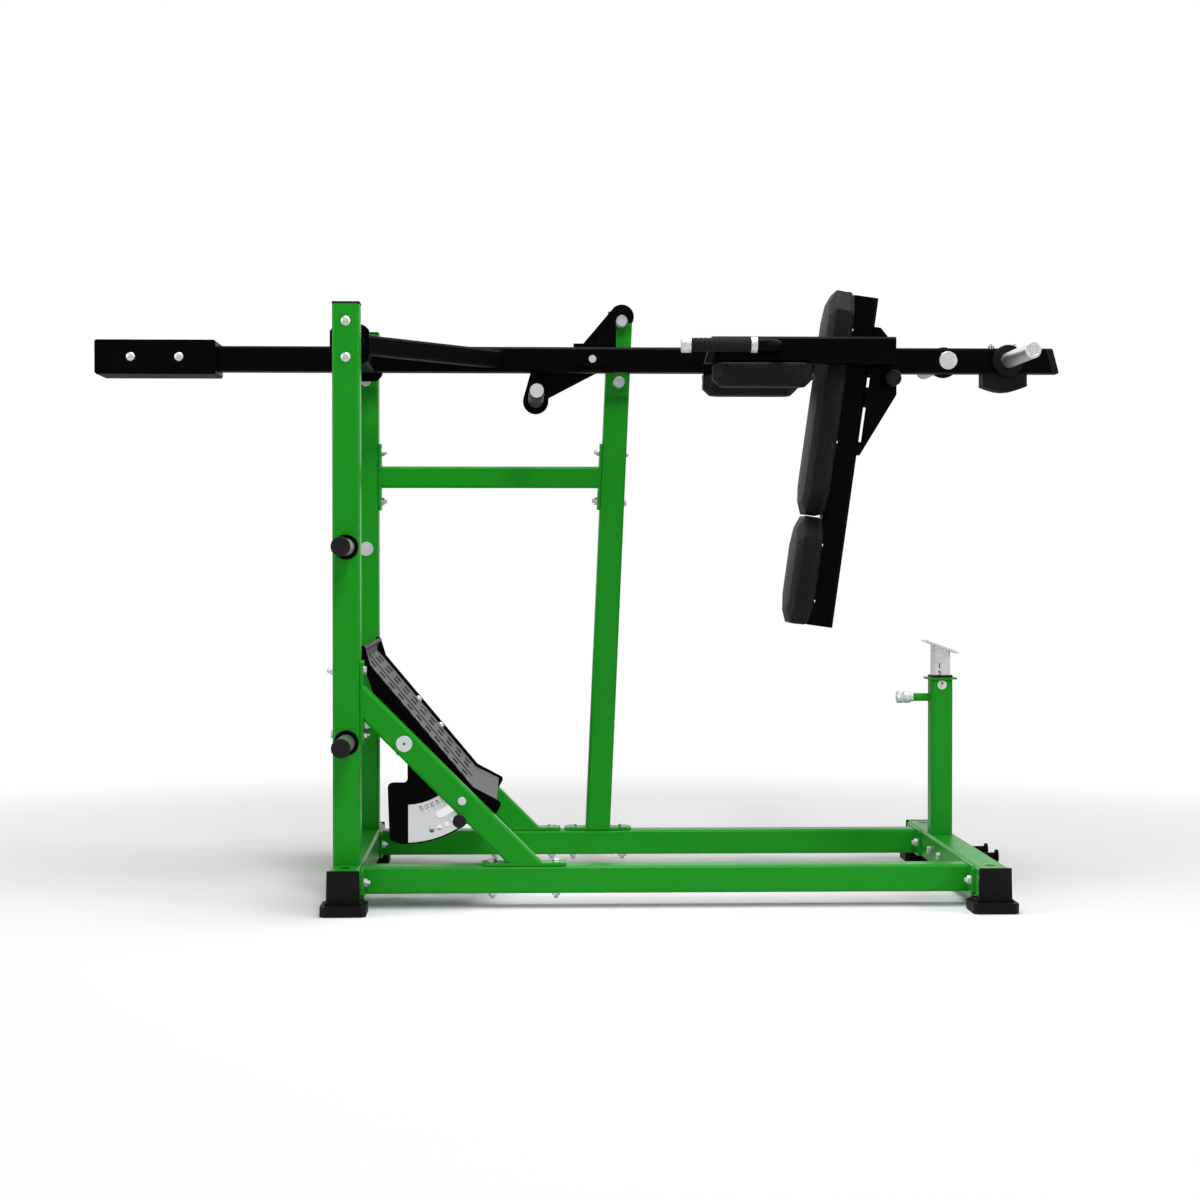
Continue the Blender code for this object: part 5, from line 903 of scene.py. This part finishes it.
# %% [markdown]
# ## Pads
# A pad is foam on a board with a cover of one flat face, side strips and sloped corner
# strips, sewn together along every edge. The seams hold the cover tight while the foam
# pushes the panels out between them. So a copy of the CAD solid is cut into a fine grid, its
# edges and its back are pinned, and cloth under a little pressure swells the rest.

# %% Cut a pad into a grid of small faces
def gridded(node, tilt, step):
    """A merged copy of a CAD pad, bisected every step along its own three directions."""
    pad = bpy.data.objects.new(node + "_cover", nodes[node].data.copy())
    bpy.context.scene.collection.objects.link(pad)
    edit(pad)
    bpy.ops.mesh.remove_doubles(threshold=0.00005)
    bpy.ops.mesh.dissolve_limited(angle_limit=math.radians(1))
    close()
    for direction in (Vector((math.cos(tilt), 0, -math.sin(tilt))), Vector((0, 1, 0)),
                      Vector((math.sin(tilt), 0, math.cos(tilt)))):
        reach = [direction.dot(v.co) for v in pad.data.vertices]
        first, span = min(reach), max(reach) - min(reach)
        count = max(2, round(span / step))
        edit(pad)
        for cut in range(1, count):
            bpy.ops.mesh.select_all(action="SELECT")
            bpy.ops.mesh.bisect(plane_co=direction * (first + span * cut / count),
                                plane_no=direction)
        close()
    return pad


# %% [markdown]
# The swelling is measured after the simulation and scaled so that no point stands out more
# than the real foam does, about 3 mm. Then one subdivision with creased seams rounds it.

# %% Swell a pad under its cover
def sewn_edges(pad, sharp):
    """The points and the edges where two panels meet at an angle."""
    only(pad)
    bpy.ops.object.mode_set(mode="EDIT")
    bpy.ops.mesh.select_mode(type="EDGE")
    bpy.ops.mesh.select_all(action="DESELECT")
    bpy.ops.mesh.edges_select_sharp(sharpness=math.radians(sharp))
    close()
    sewn = [edge for edge in pad.data.edges if edge.select]
    return {i for edge in sewn for i in edge.vertices}, [edge.index for edge in sewn]


def upholster(node, body, tilt, back, step=0.013, most=0.0032):
    """A pad with swollen panels that replaces the CAD pad; back points to its board."""
    pad = gridded(node, tilt, step)
    back = Vector(back)
    board = max(back.dot(v.co) for v in pad.data.vertices) - 0.004
    seams, seam_edges = sewn_edges(pad, 15)
    held = seams | {v.index for v in pad.data.vertices if back.dot(v.co) > board}
    flat = [v.co.copy() for v in pad.data.vertices]
    group = pad.vertex_groups.new(name="sewn")
    group.add(list(held), 1.0, "REPLACE")
    only(pad)
    bpy.ops.object.modifier_add(type="CLOTH")
    cloth = pad.modifiers[-1]
    for setting, value in (("quality", 5), ("mass", 0.3), ("tension_stiffness", 20),
                           ("compression_stiffness", 20), ("bending_stiffness", 0.6),
                           ("use_pressure", True), ("uniform_pressure_force", 4),
                           ("vertex_group_mass", "sewn")):
        setattr(cloth.settings, setting, value)
    cloth.settings.effector_weights.gravity = 0
    for number in range(1, 21):
        bpy.context.scene.frame_set(number)
    bpy.ops.object.modifier_apply(modifier=cloth.name)
    bpy.context.scene.frame_set(1)
    moves = [(v.co - flat[v.index]).length for v in pad.data.vertices]
    share = min(1.0, most / max(max(moves), 1e-6))
    for v in pad.data.vertices:
        v.co = flat[v.index] + (v.co - flat[v.index]) * share
    seam_depth = 0.0004
    normals = {i: pad.data.vertices[i].normal.copy() for i in seams}
    for i in seams:
        if back.dot(flat[i]) < board:
            pad.data.vertices[i].co -= normals[i] * seam_depth
    crease = pad.data.attributes.new("crease_edge", "FLOAT", "EDGE")
    for i in seam_edges:
        crease.data[i].value = 0.95
    only(pad)
    bpy.ops.object.modifier_add(type="SUBSURF")
    pad.modifiers[-1].levels = pad.modifiers[-1].render_levels = 1
    bpy.ops.object.modifier_apply(modifier=pad.modifiers[-1].name)
    bpy.ops.object.shade_smooth_by_angle(angle=math.radians(50))
    pad.vertex_groups.clear()
    fit(pad, node + "_cover", body, vinyl)
    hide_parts(node)
    print(node, "swelled", round(max(moves) * share * 1000, 1), "mm;",
          len(pad.data.polygons), "faces")
    return pad


# %% Make the four pads
lean_back = math.radians(7.95)
behind = (math.cos(lean_back), 0, -math.sin(lean_back))
pads = [upholster("near_shoulder_pad", "arm", 0.0, (0, 0, 1)),
        upholster("far_shoulder_pad", "arm", 0.0, (0, 0, 1)),
        upholster("upper_back_pad", "back_rest", lean_back, behind),
        upholster("lower_back_pad", "back_rest", lean_back, behind)]
print("pads:", len(pads))

# %% [markdown]
# Pan head screws hold the pads' boards from behind, on both sides of the post. They sit on the
# plane of the boards, which the model's pads give.

# %% Screws behind the back pads
up_post = Vector((math.sin(lean_back), 0, math.cos(lean_back)))
to_board = Vector(behind)
board_face = (max(to_board.dot(v.co) for v in nodes["upper_back_pad"].data.vertices)
              - front_x * behind[0])
pan_head = turned([(0.0050, 0.0), (0.0050, 0.0018), (0.0042, 0.0034), (0.0024, 0.0042)], 20)
repeat(pan_head, [(tuple(up_post * along + to_board * board_face + Vector((0, y, 0))), behind)
                  for along in (1.9237, 1.5735, 1.2512, 1.0757) for y in (-0.07, 0.17)],
       "board_screw", "back_rest")
print("boards' plane lies", round(board_face, 4), "m from the uprights' centre, along the lean")

# %% [markdown]
# ## Figures
# Generic figures only: 1, 2 and 3 on the stop post for its settings, and the tread's angle in
# degrees on the scale. Text is typed flat, made a mesh and set on its plate.

# %% Printed figures
def figure(words, size, spot, across, up, name, body, bold=0.0):
    """A thin printed word, centred on a spot, reading along across with its top along up."""
    only()
    bpy.ops.object.text_add()
    text = bpy.context.object
    text.data.body = words
    text.data.size = size
    text.data.align_x = "CENTER"
    text.data.align_y = "CENTER"
    text.data.extrude = 0.0001
    text.data.offset = bold
    only(text)
    bpy.ops.object.convert(target="MESH")
    across, up = Vector(across).normalized(), Vector(up).normalized()
    facing = Matrix((across, up, across.cross(up))).transposed().to_4x4()
    text.matrix_world = Matrix.Translation(spot) @ facing
    return fit(text, name, body, ink)


on_post = (1, 0, 0), (0, 0, 1)
post_size, bold_ink = 0.022, 0.0008
figure("1", post_size, at(1.861, 0.2163, 0.674), *on_post, "setting_1", "stop_tube", bold_ink)
figure("2", post_size, at(1.861, 0.2163, 0.648), *on_post, "setting_2", "stop_tube", bold_ink)
badge = turned([(0.0150, 0.0), (0.0150, 0.0006), (0.0144, 0.0009)], 40)
stand(badge, (1.868, 0.2098, 0.6130), (0, -1, 0), "setting_badge", "frame", nickel)
figure("3", post_size, at(1.868, 0.2088, 0.6130), *on_post, "setting_3", "frame", bold_ink)
print("stop post figures: 3")

# %% [markdown]
# The scale is a thin plate, held by two rivets, with a dark dot and a figure for every five
# degrees. They lie on arcs round the axle, so they are placed by radius and angle.

# %% Angle scale
hole_radius, figure_radius, scale_y = 0.2153, 0.2018, -0.4109
dots = []
for step in range(5):
    turn = math.radians(-57.2 - 4.8 * step)
    dots.append(((axle_x + hole_radius * math.cos(turn), scale_y,
                  axle_z + hole_radius * math.sin(turn)), (0, -1, 0)))
    out = Vector((math.cos(turn - 0.012), 0, math.sin(turn - 0.012)))
    figure(str(40 + 5 * step), 0.0160, at(axle_x, -0.41085, axle_z) + out * figure_radius,
           out, (-out.z, 0, out.x), f"degrees_{step + 1}", "footplate")
dot = turned([(0.0013, 0.0), (0.0013, 0.0002)], 12)
repeat(dot, dots, "degree_dot", "footplate", ink)
rivet = turned([(0.0030, 0.0), (0.0028, 0.0004), (0.0016, 0.0007)], 16)
repeat(rivet, [((x, -0.4108, z), (0, -1, 0)) for x, z in ((0.1817, 0.2895), (0.1842, 0.1953))],
       "scale_rivet", "footplate")
print("scale figures: 5")

# %% [markdown]
# ## Floor, backdrop and light
# A plain studio: a pale floor that keeps the object's shadow, a white backdrop, and soft
# light from four panels: overhead, left, right and front. Near the object the floor is a lit
# surface, and between 1.2 and 4 m out it turns to the plain white that the camera sees. What
# metal mirrors is white behind the object and a little darker towards the camera.

# %% Floor
only()
bpy.ops.mesh.primitive_plane_add(size=60, location=(0, 0, -0.0005))
floor = bpy.context.object
floor.name = "studio_floor"
floor_paint = bpy.data.materials.new("pale_studio_floor")
floor_paint.use_nodes = True
tree = floor_paint.node_tree
tree.nodes.clear()
lit = add_node(floor_paint, "ShaderNodeBsdfDiffuse", {"Color": (0.86, 0.86, 0.86, 1)})
plain = add_node(floor_paint, "ShaderNodeEmission", {"Color": (1, 1, 1, 1), "Strength": 1.0})
from_middle = add_node(floor_paint, "ShaderNodeTexCoord").outputs["Object"]
far_out = add_node(floor_paint, "ShaderNodeVectorMath", {"operation": "LENGTH"},
                   i0=from_middle).outputs["Value"]
white_share = add_node(floor_paint, "ShaderNodeMapRange",
                       {"From Min": 1.2, "From Max": 4.0, "To Min": 0.0, "To Max": 1.0},
                       Value=far_out).outputs["Result"]
seen = add_node(floor_paint, "ShaderNodeLightPath")
share = add_node(floor_paint, "ShaderNodeMath", {"operation": "MULTIPLY"},
                 i0=white_share, i1=seen.outputs["Is Camera Ray"]).outputs[0]
mix = add_node(floor_paint, "ShaderNodeMixShader", None, i0=share, i1=lit.outputs[0],
               i2=plain.outputs[0])
add_node(floor_paint, "ShaderNodeOutputMaterial", None, Surface=mix.outputs[0])
floor.data.materials.append(floor_paint)
print("floor laid")

# %% World
world = bpy.data.worlds.new("studio")
bpy.context.scene.world = world
world.use_nodes = True
world.node_tree.nodes.clear()
soft = add_node(world, "ShaderNodeBackground", {"Color": (1, 1, 1, 1), "Strength": 0.17})
white = add_node(world, "ShaderNodeBackground", {"Color": (1, 1, 1, 1), "Strength": 1.0})
heading = add_node(world, "ShaderNodeTexCoord").outputs["Generated"]
toward = add_node(world, "ShaderNodeSeparateXYZ", None, Vector=heading).outputs["Y"]
mirror_level = add_node(world, "ShaderNodeMapRange",
                        {"From Min": -0.5, "From Max": 0.35, "To Min": 0.72, "To Max": 1.0},
                        Value=toward).outputs["Result"]
mirrored = add_node(world, "ShaderNodeBackground", {"Color": (1, 1, 1, 1)}, Strength=mirror_level)
rays = add_node(world, "ShaderNodeLightPath").outputs
shown = add_node(world, "ShaderNodeMath", {"operation": "MAXIMUM"},
                 i0=rays["Is Glossy Ray"], i1=rays["Is Transmission Ray"]).outputs[0]
lit_or_mirrored = add_node(world, "ShaderNodeMixShader", None, i0=shown, i1=soft.outputs[0],
                           i2=mirrored.outputs[0])
both = add_node(world, "ShaderNodeMixShader", None, i0=rays["Is Camera Ray"],
                i1=lit_or_mirrored.outputs[0], i2=white.outputs[0])
add_node(world, "ShaderNodeOutputWorld", None, Surface=both.outputs[0])
print("world:", world.name)

# %% Lights
def panel(name, spot, target, size, power):
    only()
    bpy.ops.object.light_add(type="AREA", location=spot)
    lamp = bpy.context.object
    lamp.name = name
    lamp.data.shape = "SQUARE"
    lamp.data.size = size
    lamp.data.energy = power
    lamp.rotation_euler = (Vector(target) - Vector(spot)).to_track_quat("-Z", "Y").to_euler()
    return lamp


panel("overhead_panel", (0.2, -0.4, 5.0), (-0.1, 0, 0), 2.4, 165)
panel("left_panel", (-5.5, -1.6, 3.0), (-0.1, 0, 1.0), 3.0, 105)
panel("right_panel", (5.0, -2.6, 3.2), (-0.1, 0, 0.8), 1.6, 85)
panel("front_panel", (0.6, -6.2, 4.4), (-0.1, 0, 0.5), 1.0, 165).visible_glossy = False
print("lights: 4")

# %% [markdown]
# ## Camera
# The photograph was taken from the side with a long lens, almost level. The lens and place
# were worked out from corners of the frame that show in it.

# %% Camera
bpy.ops.object.camera_add(location=(-0.2036, -7.418, 1.007),
                          rotation=(math.pi / 2 - 0.015636, 0, -0.034464))
camera = bpy.context.object
camera.data.lens = 71.27
camera.data.sensor_width = 36
bpy.context.scene.camera = camera
bpy.context.scene.view_settings.view_transform = "Standard"
print("lens", camera.data.lens, "mm")
